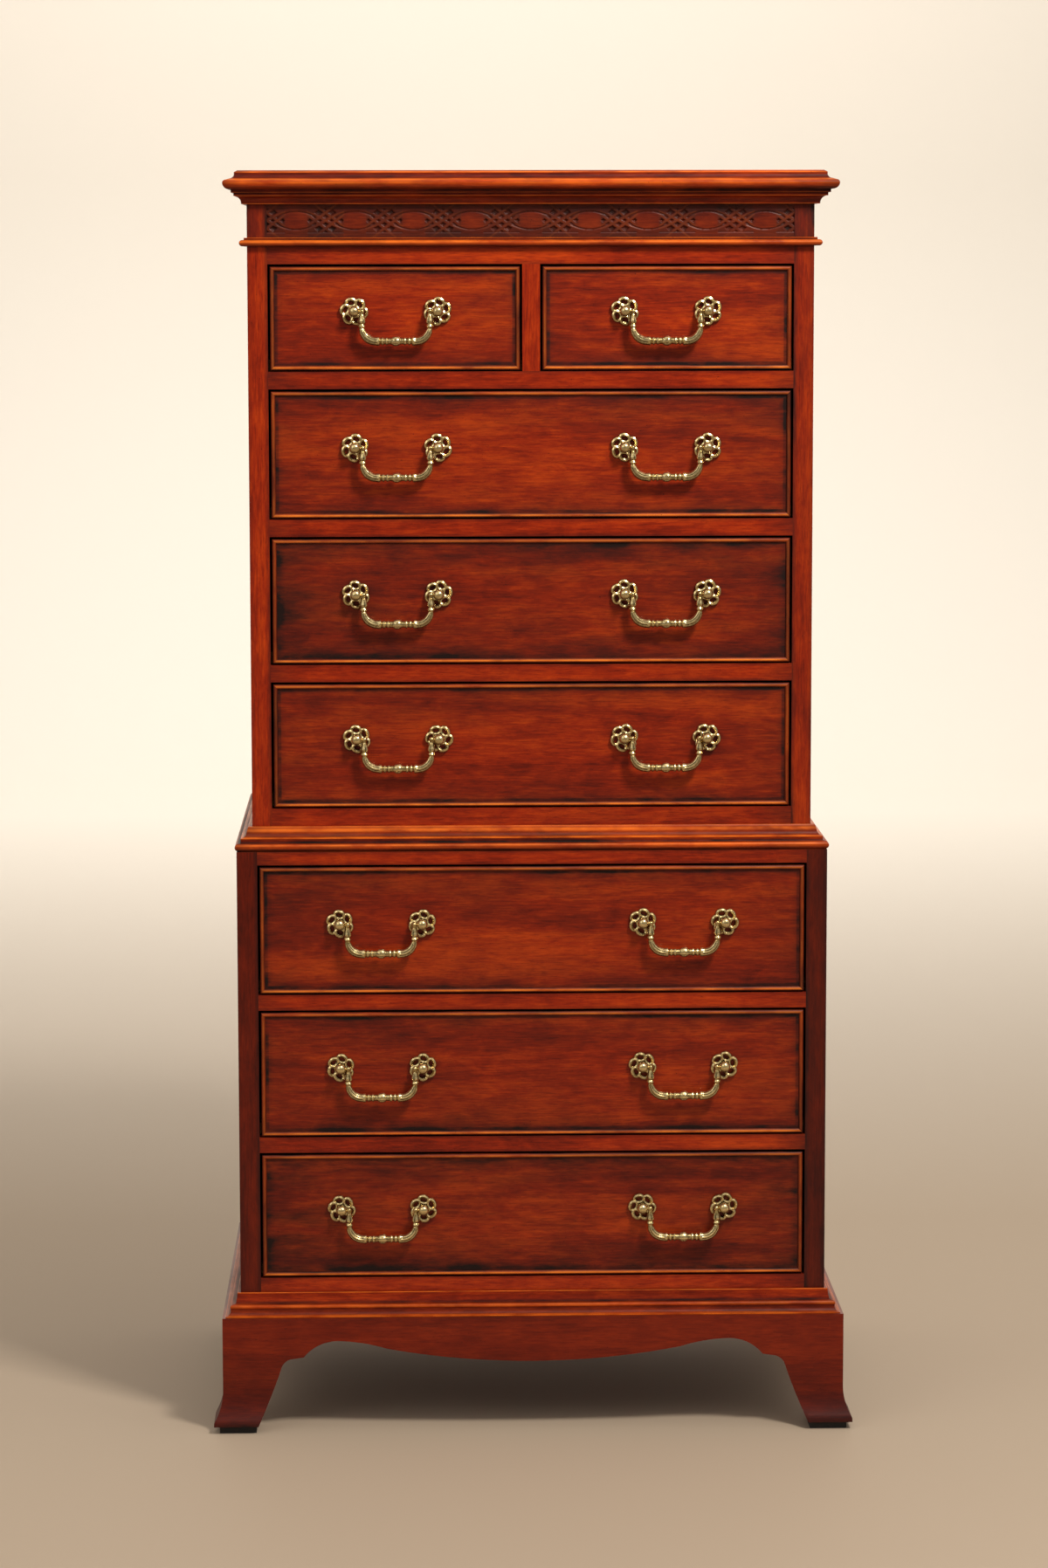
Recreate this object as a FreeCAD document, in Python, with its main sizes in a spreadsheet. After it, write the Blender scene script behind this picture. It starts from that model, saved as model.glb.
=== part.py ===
import FreeCAD, Part
import os
import Sketcher

# Chest-on-chest in mahogany: a lower case of three long drawers on bracket feet,
# an upper case of two short and three long drawers, and a moulded cornice.
# Lengths are millimetres. +Z is up, the drawers face -Y, and the origin lies on the
# floor under the middle of the whole piece.

# Cases, with their face frames; the overrun serves every cut
CASE_SIZES = {
    "cut_overrun": 5,
    "lower_width": 637,
    "lower_depth": 450,
    "upper_side_step": 16.7,
    "upper_setback": 17.4,
    "side_board": 18,
    "back_board": 8,
    "frame_depth": 20,
    "lower_stile": 22.1,
    "upper_stile": 21.3,
    "mullion": 19,
    "lower_bottom_rail": 40.5,
    "lower_rail": 17.1,
    "lower_top_rail": 14.3,
    "upper_bottom_rail": 45.1,
    "upper_rail": 18.7,
    "upper_top_rail": 19,
    "frieze_height": 67.7,
    "frieze_board": 18,
    "top_board": 12,
    "bottom_board": 12,
    "dust_board": 9,
    "guide_height": 12,
}

# Clear height of each row of drawers, from the top row down
ROW_SIZES = {
    "opening_1": 113.7,
    "opening_2": 138.9,
    "opening_3": 137.6,
    "opening_4": 136.8,
    "opening_5": 141.5,
    "opening_6": 139.6,
    "opening_7": 138.4,
}

# Drawers, each a rebated front with an applied bead, two sides, a back and a bottom
DRAWER_SIZES = {
    "drawer_gap": 2.5,
    "drawer_foot_gap": 1.5,
    "guide_clearance": 1,
    "panel_recess": 1,
    "bead_width": 4.8,
    "bead_depth": 11,
    "bead_proud": 1.5,
    "drawer_side": 11,
    "drawer_back": 9,
    "drawer_bottom": 6,
    "bottom_rise": 9,
    "side_top_gap": 6,
    "rear_gap": 22,
}

# Mouldings and the bracket plinth
TRIM_SIZES = {
    "cornice_reach": 24.6,
    "cornice_height": 35.3,
    "astragal_reach": 8.2,
    "astragal_height": 9,
    "waist_reach": 18.6,
    "waist_height": 26,
    "base_reach": 16.3,
    "base_height": 24.9,
    "mitre_depth": 34,
    "plinth_height": 126.5,
    "plinth_reach": 19.5,
    "plinth_board": 26,
    "pad_height": 8,
    "pad_inset": 6,
    "pad_side": 40,
    "foot_flare": 9.7,
    "flare_height": 33,
    "foot_lip": 4,
    "foot_block": 26,
    "block_rise": 50,
    "toe_width": 38.4,
    "knee_place": 63,
    "knee_height": 68.5,
    "shoulder_place": 73.5,
    "shoulder_height": 80.6,
    "brow_place": 88,
    "brow_height": 82.7,
    "crown_place": 128,
    "crown_height": 100.5,
    "ease_place": 178,
    "ease_height": 91.8,
    "front_drop": 76.9,
    "side_drop": 87,
    "back_brace": 50,
    "back_brace_board": 16,
}

# Brass pulls: pierced rosettes on posts, with a swinging bail between them
PULL_SIZES = {
    "upper_pull_place": 144.2,
    "lower_pull_place": 163.5,
    "pull_rise": 7,
    "post_spacing": 88.9,
    "pull_standoff": 12,
    "post_ball": 5.2,
    "post_shank": 2.4,
    "shank_clearance": 0.3,
    "post_collar": 5.4,
    "collar_depth": 1.6,
    "nut_radius": 5,
    "nut_depth": 3.2,
    "shank_end": 2,
    "rosette_thickness": 2.4,
    "rosette_hub": 7.8,
    "rosette_lobe": 5.6,
    "rosette_lobe_place": 9.4,
    "rosette_hole": 2.7,
    "bail_inset": 8.45,
    "bail_rod": 3.2,
    "bail_neck": 1.9,
    "bail_drop": 31.5,
    "bail_bend": 14.5,
    "bail_pin": 1.6,
    "pin_clearance": 0.06,
    "pin_end_gap": 0.4,
    "pin_depth": 4.5,
    "bail_knuckle": 2.9,
    "bail_cuff": 4.3,
    "cuff_start": 3.5,
    "cuff_length": 9,
    "bail_knop": 3.8,
    "knop_drop": 15.5,
    "bail_ball": 5.1,
    "leaf_radius": 4.2,
    "leaf_start": 4,
    "leaf_length": 9,
}

# Moulding outlines as shares of reach and height, from the case face outward.
# A point marked "by" is the middle of an arc between its neighbours.
CORNICE_SHARES = (
    ("to", 0, 0), ("to", 0.228, 0), ("to", 0.228, 0.023), ("by", 0.321, 0.176),
    ("to", 0.541, 0.238), ("to", 0.541, 0.334), ("to", 0.65, 0.334), ("to", 0.65, 0.425),
    ("to", 0.7, 0.436), ("by", 0.925, 0.493), ("to", 1, 0.609), ("by", 0.972, 0.68),
    ("to", 0.886, 0.717), ("to", 0.691, 0.759), ("by", 0.565, 0.8), ("to", 0.512, 0.875),
    ("to", 0.512, 0.946), ("to", 0.366, 1), ("to", 0, 1),
)
ASTRAGAL_SHARES = (
    ("to", 0, 0), ("to", 0.56, 0), ("by", 1, 0.367), ("to", 0.56, 0.733),
    ("to", 0.39, 0.733), ("to", 0.39, 1), ("to", 0, 1),
)
WAIST_SHARES = (
    ("to", 0, 0), ("to", 0.855, 0), ("to", 0.855, 0.038), ("by", 1, 0.188),
    ("to", 0.855, 0.338), ("to", 0.699, 0.354), ("to", 0.667, 0.381), ("to", 0.667, 0.546),
    ("by", 0.43, 0.615), ("to", 0.333, 0.785), ("to", 0.258, 0.954), ("to", 0.215, 1),
    ("to", 0, 1),
)
BASE_SHARES = (
    ("to", 0, 0), ("to", 1, 0), ("to", 1, 0.04), ("by", 0.75, 0.104), ("to", 0.65, 0.281),
    ("to", 0.65, 0.337), ("by", 0.687, 0.426), ("to", 0.552, 0.506), ("to", 0.325, 0.546),
    ("to", 0.239, 0.783), ("to", 0.209, 1), ("to", 0, 1),
)
# Middles of the arcs along foot, knee, crown and ease, as shares of the way along each
TOE_ARC_SHARES = (0.59, 0.545)
KNEE_ARC_SHARES = (0.333, 0.62)
CROWN_ARC_SHARES = (0.42, 0.75)
EASE_ARC_SHARES = (0.45, 0.25)
FLARE_ARC_SHARES = (0.25, 0.51)

UPPER_ROWS = ("1", "2", "3", "4")
LOWER_ROWS = ("5", "6", "7")
ROSETTE_LOBES = 6
NUT_SIDES = 6

doc = FreeCAD.newDocument("ChestOnChest")
nodes = []


def fill_sheet(name, cells):
    """Sheet with one named cell for each entry."""
    sheet = doc.addObject("Spreadsheet::Sheet", name)
    for line, (alias, content) in enumerate(cells.items(), start=1):
        sheet.set(f"A{line}", alias)
        sheet.set(f"B{line}", str(content))
        sheet.setAlias(f"B{line}", alias)
    doc.recompute()
    return sheet


def row_places():
    """Formulas for the low and high edge of each row of drawers."""
    rows = {}
    below = "=Sizes.plinth_height + Sizes.lower_bottom_rail"
    for row in reversed(LOWER_ROWS):
        rows[f"row_{row}_low"] = below
        rows[f"row_{row}_high"] = f"=row_{row}_low + Sizes.opening_{row}"
        below = f"=row_{row}_high + Sizes.lower_rail"
    rows["lower_top"] = f"=row_{LOWER_ROWS[0]}_high + Sizes.lower_top_rail"
    below = "=lower_top + Sizes.upper_bottom_rail"
    for row in reversed(UPPER_ROWS):
        rows[f"row_{row}_low"] = below
        rows[f"row_{row}_high"] = f"=row_{row}_low + Sizes.opening_{row}"
        below = f"=row_{row}_high + Sizes.upper_rail"
    rows["frieze_low"] = f"=row_{UPPER_ROWS[0]}_high + Sizes.upper_top_rail"
    rows["upper_top"] = "=frieze_low + Sizes.frieze_height"
    rows["total_height"] = "=upper_top + Sizes.top_board"
    return rows


sizes = fill_sheet("Sizes", {
    **CASE_SIZES, **ROW_SIZES, **DRAWER_SIZES, **TRIM_SIZES, **PULL_SIZES,
})
places = fill_sheet("Places", {
    "back": "=(Sizes.lower_depth + Sizes.plinth_reach + Sizes.foot_flare) / 2",
    "lower_front": "=back - Sizes.lower_depth",
    "upper_front": "=lower_front + Sizes.upper_setback",
    "inner_back": "=back - Sizes.back_board",
    "lower_half": "=Sizes.lower_width / 2",
    "upper_half": "=lower_half - Sizes.upper_side_step",
    "lower_inner": "=lower_half - Sizes.side_board",
    "upper_inner": "=upper_half - Sizes.side_board",
    "lower_opening": "=lower_half - Sizes.lower_stile",
    "upper_opening": "=upper_half - Sizes.upper_stile",
    "plinth_half": "=lower_half + Sizes.plinth_reach",
    "plinth_front": "=lower_front - Sizes.plinth_reach",
    "plinth_inner": "=plinth_half - Sizes.plinth_board",
    "plinth_inner_front": "=plinth_front + Sizes.plinth_board",
    "post_side": "=Sizes.post_spacing / 2",
    "bail_side": "=post_side - Sizes.bail_inset",
    "front_board": "=Sizes.frame_depth - Sizes.panel_recess",
    **row_places(),
})


def turned(*axes):
    """Rotation that lays the own X, Y and Z of a piece along three directions."""
    return FreeCAD.Rotation(*(FreeCAD.Vector(*axis) for axis in axes), "XYZ")


LEFT, RIGHT, BACK, FORWARD = (-1, 0, 0), (1, 0, 0), (0, 1, 0), (0, -1, 0)
UP, DOWN = (0, 0, 1), (0, 0, -1)
ALONG_X = turned(DOWN, BACK, RIGHT)
TO_BACK = turned(RIGHT, DOWN, BACK)
UPSIDE_DOWN = turned(RIGHT, FORWARD, DOWN)
STAND_ALONG_X = turned(RIGHT, UP, FORWARD)
STAND_ALONG_Y = turned(BACK, UP, RIGHT)
FACE_LEFT = turned(LEFT, UP, BACK)
FALL_RIGHT = turned(DOWN, LEFT, BACK)
RISE_LEFT = turned(UP, RIGHT, BACK)


def keep(name, item):
    """Make item the sub-part that its file is named for."""
    item.Label = name
    nodes.append(item)
    return item


def put(item, x="0", y="0", z="0", rotation=None):
    """Turn item, then tie its place to the sheets."""
    if rotation is not None:
        item.Placement = FreeCAD.Placement(FreeCAD.Vector(), rotation)
    for axis, value in (("x", x), ("y", y), ("z", z)):
        if value != "0":
            item.setExpression(f"Placement.Base.{axis}", value)
    return item


def board(name, x, y, z):
    """Rectangular board between pairs of low and high places."""
    item = doc.addObject("Part::Box", name)
    for side, (low, high) in (("Length", x), ("Width", y), ("Height", z)):
        item.setExpression(side, f"({high}) - ({low})")
    return put(item, x[0], y[0], z[0])


def mirrored_boards(name, x, y, z):
    """Left and right copies of a board given by its right-hand span."""
    low, high = x
    return [board(name + "_left", (f"-({high})", f"-({low})"), y, z),
            board(name + "_right", x, y, z)]


def group(name, items):
    """Separate solids that share one sub-part."""
    item = doc.addObject("Part::Compound", name)
    item.Links = items
    return item


def fused(name, items):
    """One solid grown from several."""
    item = doc.addObject("Part::MultiFuse", name)
    item.Shapes = items
    return item


def cut(name, base, tool):
    """Base with the tool taken out of it."""
    item = doc.addObject("Part::Cut", name)
    item.Base = base
    item.Tool = tool
    return item


def common(name, base, tool):
    """What base and tool share."""
    item = doc.addObject("Part::Common", name)
    item.Base = base
    item.Tool = tool
    return item


def rod(name, radius, length, x="0", y="0", z="0", rotation=None):
    """Round rod from a start point, along Z unless turned."""
    item = doc.addObject("Part::Cylinder", name)
    item.setExpression("Radius", radius)
    item.setExpression("Height", length)
    return put(item, x, y, z, rotation)


def ball(name, radius, x="0", y="0", z="0", rotation=None):
    """Ball about a centre, its poles along Z unless turned."""
    item = doc.addObject("Part::Sphere", name)
    item.setExpression("Radius", radius)
    return put(item, x, y, z, rotation)


def cone(name, start_radius, end_radius, length, x="0", y="0", z="0", rotation=None):
    """Tapered rod from a start point, along Z unless turned."""
    item = doc.addObject("Part::Cone", name)
    item.setExpression("Radius1", start_radius)
    item.setExpression("Radius2", end_radius)
    item.setExpression("Height", length)
    return put(item, x, y, z, rotation)


def fix_point(sketch, geometry, end, x, y):
    """Tie one point of a sketch to the sheets."""
    for kind, value, axis in (("DistanceX", x, -2), ("DistanceY", y, -1)):
        if value == "0":
            sketch.addConstraint(Sketcher.Constraint("PointOnObject", geometry, end, axis))
            continue
        size = float(sketch.evalExpression(value))
        index = sketch.addConstraint(Sketcher.Constraint(kind, -1, 1, geometry, end, size))
        sketch.setExpression(f"Constraints[{index}]", value)


def outline(name, points, closed=True):
    """Sketch of lines and arcs through points given as kind, x and y."""
    sketch = doc.addObject("Sketcher::SketchObject", name)
    spots = [FreeCAD.Vector(float(sketch.evalExpression(x)), float(sketch.evalExpression(y)), 0)
             for _, x, y in points]
    corners = [index for index, point in enumerate(points) if point[0] == "to"]
    ends = corners[1:] + (corners[:1] if closed else [])
    tips = {corner: [] for corner in corners}
    for start, end in zip(corners, ends):
        middle = start + 1
        first, last = start, end
        if middle < len(points) and points[middle][0] == "by":
            turn = (spots[middle] - spots[start]).cross(spots[end] - spots[middle]).z
            if turn < 0:
                first, last = end, start
            edge = sketch.addGeometry(Part.Arc(spots[first], spots[middle], spots[last]))
            mark = sketch.addGeometry(Part.Point(spots[middle]), True)
            fix_point(sketch, mark, 1, points[middle][1], points[middle][2])
            sketch.addConstraint(Sketcher.Constraint("PointOnObject", mark, 1, edge))
        else:
            edge = sketch.addGeometry(Part.LineSegment(spots[start], spots[end]))
        tips[first].append((edge, 1))
        tips[last].append((edge, 2))
    for corner, touching in tips.items():
        fix_point(sketch, *touching[0], points[corner][1], points[corner][2])
        if len(touching) > 1:
            sketch.addConstraint(Sketcher.Constraint("Coincident", *touching[0], *touching[1]))
    return sketch


def shared_outline(name, shares, reach, height):
    """Outline whose points are shares of a reach and a height."""
    return outline(name, [
        (kind, f"{reach} * {across}" if across else "0", f"{height} * {up}" if up else "0")
        for kind, across, up in shares])


def mitred_run(name, section, half, front, back, z, reach):
    """Section carried round front and sides, parted at its two mitres."""
    put(section, f"-({half})", back, z, FACE_LEFT)
    path = outline(name + "_path", [
        ("to", "0", "0"), ("to", "0", f"({back}) - ({front})"),
        ("to", f"2 * ({half})", f"({back}) - ({front})"), ("to", f"2 * ({half})", "0"),
    ], closed=False)
    put(path, f"-({half})", back, z, UPSIDE_DOWN)
    run = doc.addObject("Part::Sweep", name + "_run")
    run.Sections = [section]
    run.Spine = (path, ["Edge1", "Edge2", "Edge3"])
    run.Solid = True
    run.Transition = "Right corner"
    mitre = doc.addObject("Part::Wedge", name + "_mitre")
    outer = f"({half}) + ({reach})"
    inner = f"({half}) - Sizes.mitre_depth"
    for side, value in (("Xmin", f"-({outer})"), ("Xmax", outer),
                        ("X2min", f"-({inner})"), ("X2max", inner),
                        ("Ymin", f"({front}) - ({reach})"), ("Ymax", f"({front}) + Sizes.mitre_depth"),
                        ("Zmin", "-Sizes.cut_overrun"), ("Z2min", "-Sizes.cut_overrun"),
                        ("Zmax", "Places.total_height"), ("Z2max", "Places.total_height")):
        mitre.setExpression(side, value)
    return common(name + "_front", run, mitre), cut(name + "_sides", run, mitre)


def add_moulding(name, shares, size, half, front, z):
    """Moulding in three mitred lengths along front and sides of a case."""
    section = shared_outline(name + "_section", shares, f"Sizes.{size}_reach", f"Sizes.{size}_height")
    lengths = mitred_run(name, section, half, front, "Places.back", z,
                         f"Sizes.{size}_reach + Sizes.cut_overrun")
    return keep(name, group(name, lengths))


def between(low, high, share):
    """Expression for the place a share of the way from low to high."""
    return f"({low}) + (({high}) - ({low})) * {share}"


def arch(name, length, drop):
    """Opening under a bracket board, from its left end at the floor."""
    half_foot = [
        ("to", "Sizes.toe_width", "-Sizes.cut_overrun"),
        ("to", "Sizes.toe_width", "Sizes.pad_height"),
        ("by", between("Sizes.toe_width", "Sizes.knee_place", TOE_ARC_SHARES[0]),
         between("Sizes.pad_height", "Sizes.knee_height", TOE_ARC_SHARES[1])),
        ("to", "Sizes.knee_place", "Sizes.knee_height"),
        ("by", between("Sizes.knee_place", "Sizes.shoulder_place", KNEE_ARC_SHARES[0]),
         between("Sizes.knee_height", "Sizes.shoulder_height", KNEE_ARC_SHARES[1])),
        ("to", "Sizes.shoulder_place", "Sizes.shoulder_height"),
        ("to", "Sizes.brow_place", "Sizes.brow_height"),
        ("by", between("Sizes.brow_place", "Sizes.crown_place", CROWN_ARC_SHARES[0]),
         between("Sizes.brow_height", "Sizes.crown_height", CROWN_ARC_SHARES[1])),
        ("to", "Sizes.crown_place", "Sizes.crown_height"),
        ("by", between("Sizes.crown_place", "Sizes.ease_place", EASE_ARC_SHARES[0]),
         between("Sizes.crown_height", "Sizes.ease_height", EASE_ARC_SHARES[1])),
        ("to", "Sizes.ease_place", "Sizes.ease_height"),
    ]
    far_foot = [(kind, f"({length}) - ({x})", z) for kind, x, z in reversed(half_foot)]
    return outline(name, half_foot + [("by", f"({length}) / 2", drop)] + far_foot)


def extruded(name, section, length):
    """Section drawn out along its own normal."""
    item = doc.addObject("Part::Extrusion", name)
    item.Base = section
    item.DirMode = "Normal"
    item.Solid = True
    item.setExpression("LengthFwd", length)
    return item


# Bracket plinth, its blocks and pads
def add_plinth():
    """Front and side brackets with flared feet, a back brace, glue blocks and pads."""
    face = "Sizes.plinth_board"
    toe = "Sizes.plinth_board + Sizes.foot_flare"
    rise = "Sizes.plinth_height - Sizes.pad_height"
    flare_top = "Sizes.foot_lip + Sizes.flare_height"
    section = outline("plinth_section", [
        ("to", "0", "0"), ("to", toe, "0"), ("to", toe, "Sizes.foot_lip"),
        ("by", between(toe, face, 1 - FLARE_ARC_SHARES[0]),
         between("Sizes.foot_lip", flare_top, FLARE_ARC_SHARES[1])),
        ("to", face, flare_top), ("to", face, rise), ("to", "0", rise),
    ])
    front, sides = mitred_run(
        "plinth", section, "Places.plinth_inner", "Places.plinth_inner_front", "Places.back",
        "Sizes.pad_height", f"{toe} + Sizes.cut_overrun")
    span = "2 * Places.plinth_half"
    depth = "Places.back - Places.plinth_front"
    reach = "Sizes.plinth_board + Sizes.foot_flare + 2 * Sizes.cut_overrun"
    front_arch = extruded("front_arch", put(
        arch("front_arch_outline", span, "Sizes.front_drop"), "-Places.plinth_half",
        "Places.plinth_inner_front + Sizes.cut_overrun", "0", STAND_ALONG_X), reach)
    side_arch = extruded("side_arch", put(
        arch("side_arch_outline", depth, "Sizes.side_drop"), "-Places.plinth_half - Sizes.foot_flare"
        " - Sizes.cut_overrun", "Places.plinth_front", "0", STAND_ALONG_Y),
        "2 * (Places.plinth_half + Sizes.foot_flare + Sizes.cut_overrun)")
    brace = board("plinth_brace", ("-Places.plinth_inner", "Places.plinth_inner"),
                  ("Places.back - Sizes.back_brace_board", "Places.back"),
                  ("Sizes.plinth_height - Sizes.back_brace", "Sizes.plinth_height"))
    keep("bracket_plinth", group("bracket_plinth", [
        cut("plinth_front_bracket", front, front_arch),
        cut("plinth_side_brackets", sides, side_arch), brace]))

    inner = "Places.plinth_inner"
    column = (f"{inner} - Sizes.foot_block", inner)
    blocks = mirrored_boards(
        "front_block", column,
        ("Places.plinth_inner_front", "Places.plinth_inner_front + Sizes.foot_block"),
        ("Sizes.block_rise", "Sizes.plinth_height"))
    back_edge = "Places.back - Sizes.back_brace_board"
    blocks += mirrored_boards(
        "back_block", column, (f"{back_edge} - Sizes.foot_block", back_edge),
        ("Sizes.block_rise", "Sizes.plinth_height"))
    keep("foot_blocks", group("foot_blocks", blocks))

    outer = "Places.plinth_half + Sizes.foot_flare - Sizes.pad_inset"
    pad_front = "Places.plinth_front - Sizes.foot_flare + Sizes.pad_inset"
    pad_back = "Places.back - Sizes.pad_inset"
    pads = mirrored_boards("front_pad", (f"{outer} - Sizes.pad_side", outer),
                           (pad_front, f"{pad_front} + Sizes.pad_side"), ("0", "Sizes.pad_height"))
    pads += mirrored_boards("back_pad", (f"{outer} - Sizes.pad_side", outer),
                            (f"{pad_back} - Sizes.pad_side", pad_back), ("0", "Sizes.pad_height"))
    keep("foot_pads", group("foot_pads", pads))


# Cases
def add_cases():
    """Side, top, bottom and back boards of both cases."""
    lower_sides = mirrored_boards(
        "lower_side", ("Places.lower_inner", "Places.lower_half"),
        ("Places.lower_front + Sizes.frame_depth", "Places.back"),
        ("Sizes.plinth_height", "Places.lower_top"))
    lower_span = ("-Places.lower_inner", "Places.lower_inner")
    lower_run = ("Places.lower_front + Sizes.frame_depth", "Places.inner_back")
    lower_floor = f"Places.row_{LOWER_ROWS[-1]}_low"
    keep("lower_case_boards", group("lower_case_boards", lower_sides + [
        board("lower_bottom", lower_span, lower_run, (f"{lower_floor} - Sizes.bottom_board", lower_floor)),
        board("lower_top", lower_span, lower_run, (f"Places.row_{LOWER_ROWS[0]}_high", "Places.lower_top")),
    ]))
    upper_sides = mirrored_boards(
        "upper_side", ("Places.upper_inner", "Places.upper_half"),
        ("Places.upper_front + Sizes.frame_depth", "Places.back"),
        ("Places.lower_top", "Places.upper_top"))
    upper_span = ("-Places.upper_inner", "Places.upper_inner")
    upper_run = ("Places.upper_front + Sizes.frame_depth", "Places.inner_back")
    upper_floor = f"Places.row_{UPPER_ROWS[-1]}_low"
    keep("upper_case_boards", group("upper_case_boards", upper_sides + [
        board("upper_bottom", upper_span, upper_run,
              (f"{upper_floor} - Sizes.bottom_board", upper_floor)),
        board("upper_top", ("-Places.upper_half", "Places.upper_half"),
              ("Places.upper_front", "Places.back"), ("Places.upper_top", "Places.total_height")),
    ]))
    back_run = ("Places.inner_back", "Places.back")
    keep("back_panels", group("back_panels", [
        board("lower_back", lower_span, back_run, ("Sizes.plinth_height", "Places.lower_top")),
        board("upper_back", upper_span, back_run, ("Places.lower_top", "Places.upper_top")),
    ]))


def add_face_frame(name, rows, case, stile_low, stile_high, rails):
    """Stiles, rails and any mullion that frame the drawers of one case."""
    run = (f"Places.{case}_front", f"Places.{case}_front + Sizes.frame_depth")
    span = (f"-Places.{case}_opening", f"Places.{case}_opening")
    members = mirrored_boards(f"{case}_stile", (f"Places.{case}_opening", f"Places.{case}_half"),
                              run, (stile_low, stile_high))
    for above, below in zip(rows, rows[1:]):
        members.append(board(f"{case}_rail_{below}", span, run,
                             (f"Places.row_{below}_high", f"Places.row_{above}_low")))
    for label, low, high in rails:
        members.append(board(f"{case}_{label}_rail", span, run, (low, high)))
    if case == "upper":
        members.append(board("mullion", ("-Sizes.mullion / 2", "Sizes.mullion / 2"), run,
                             (f"Places.row_{rows[0]}_low", f"Places.row_{rows[0]}_high")))
    return keep(name, group(name, members))


def add_runners():
    """Dust boards that carry the drawers, with guides that keep them straight."""
    parts = []
    for case, rows in (("upper", UPPER_ROWS), ("lower", LOWER_ROWS)):
        run = (f"Places.{case}_front + Sizes.frame_depth", "Places.inner_back")
        span = (f"-Places.{case}_inner", f"Places.{case}_inner")
        guide = (f"Places.{case}_opening - Sizes.drawer_gap + Sizes.guide_clearance",
                 f"Places.{case}_inner")
        for row in rows:
            floor = f"Places.row_{row}_low"
            if row != rows[-1]:
                parts.append(board(f"dust_board_{row}", span, run,
                                   (f"{floor} - Sizes.dust_board", floor)))
            parts += mirrored_boards(f"guide_{row}", guide, run,
                                     (floor, f"{floor} + Sizes.guide_height"))
    upper_run = ("Places.upper_front + Sizes.frame_depth", "Places.inner_back")
    top_row = UPPER_ROWS[0]
    centre = "Sizes.mullion / 2 + Sizes.drawer_gap - Sizes.guide_clearance"
    parts.append(board("centre_guide", (f"-({centre})", centre), upper_run,
                       (f"Places.row_{top_row}_low", f"Places.row_{top_row}_low + Sizes.guide_height")))
    parts.append(board("kicker_board", ("-Places.upper_inner", "Places.upper_inner"), upper_run,
                       (f"Places.row_{top_row}_high", f"Places.row_{top_row}_high + Sizes.dust_board")))
    keep("drawer_runners", group("drawer_runners", parts))


# Pulls, made once about the middle of a pull on the drawer's panel face
def circle(body, name, radii, height="0"):
    """Sketch of circles about one centre on the face plane of a body."""
    sketch = body.newObject("Sketcher::SketchObject", name)
    plane = next(item for item in body.Origin.OriginFeatures if item.Role == "XZ_Plane")
    sketch.AttachmentSupport = (plane, [""])
    sketch.MapMode = "FlatFace"
    centre = FreeCAD.Vector(0, float(sketch.evalExpression(height)), 0)
    for radius in radii:
        size = float(sketch.evalExpression(radius))
        ring = sketch.addGeometry(Part.Circle(centre, FreeCAD.Vector(*UP), size))
        fix_point(sketch, ring, 3, "0", height)
        index = sketch.addConstraint(Sketcher.Constraint("Radius", ring, size))
        sketch.setExpression(f"Constraints[{index}]", radius)
    return sketch


def around(body, name, feature, axis_sketch):
    """Feature repeated for each lobe of the rosette."""
    pattern = body.newObject("PartDesign::PolarPattern", name)
    pattern.Originals = [feature]
    pattern.Axis = (axis_sketch, ["N_Axis"])
    pattern.Angle = 360
    pattern.Occurrences = ROSETTE_LOBES
    body.Tip = pattern
    return pattern


def make_rosette():
    """Pierced rosette: a hub with six open lobes."""
    body = doc.addObject("PartDesign::Body", "rosette_body")
    hub_sketch = circle(body, "hub_circles",
                        ("Sizes.rosette_hub", "Sizes.post_shank + Sizes.shank_clearance"))
    hub = body.newObject("PartDesign::Pad", "hub")
    lobe_sketch = circle(body, "lobe_circle", ("Sizes.rosette_lobe",), "Sizes.rosette_lobe_place")
    lobe = body.newObject("PartDesign::Pad", "lobe")
    for feature, sketch in ((hub, hub_sketch), (lobe, lobe_sketch)):
        feature.Profile = sketch
        feature.setExpression("Length", "Sizes.rosette_thickness")
    doc.recompute()
    around(body, "lobes", lobe, hub_sketch)
    doc.recompute()
    solid_volume = body.Shape.Volume
    piercing = body.newObject("PartDesign::Pocket", "piercing")
    piercing.Profile = circle(body, "piercing_circle", ("Sizes.rosette_hole",),
                              "Sizes.rosette_lobe_place")
    piercing.Type = "ThroughAll"
    piercing.Midplane = True
    doc.recompute()
    around(body, "piercings", piercing, hub_sketch)
    doc.recompute()
    if body.Shape.Volume >= solid_volume:
        raise RuntimeError("the rosette is not pierced")
    return body


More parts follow.
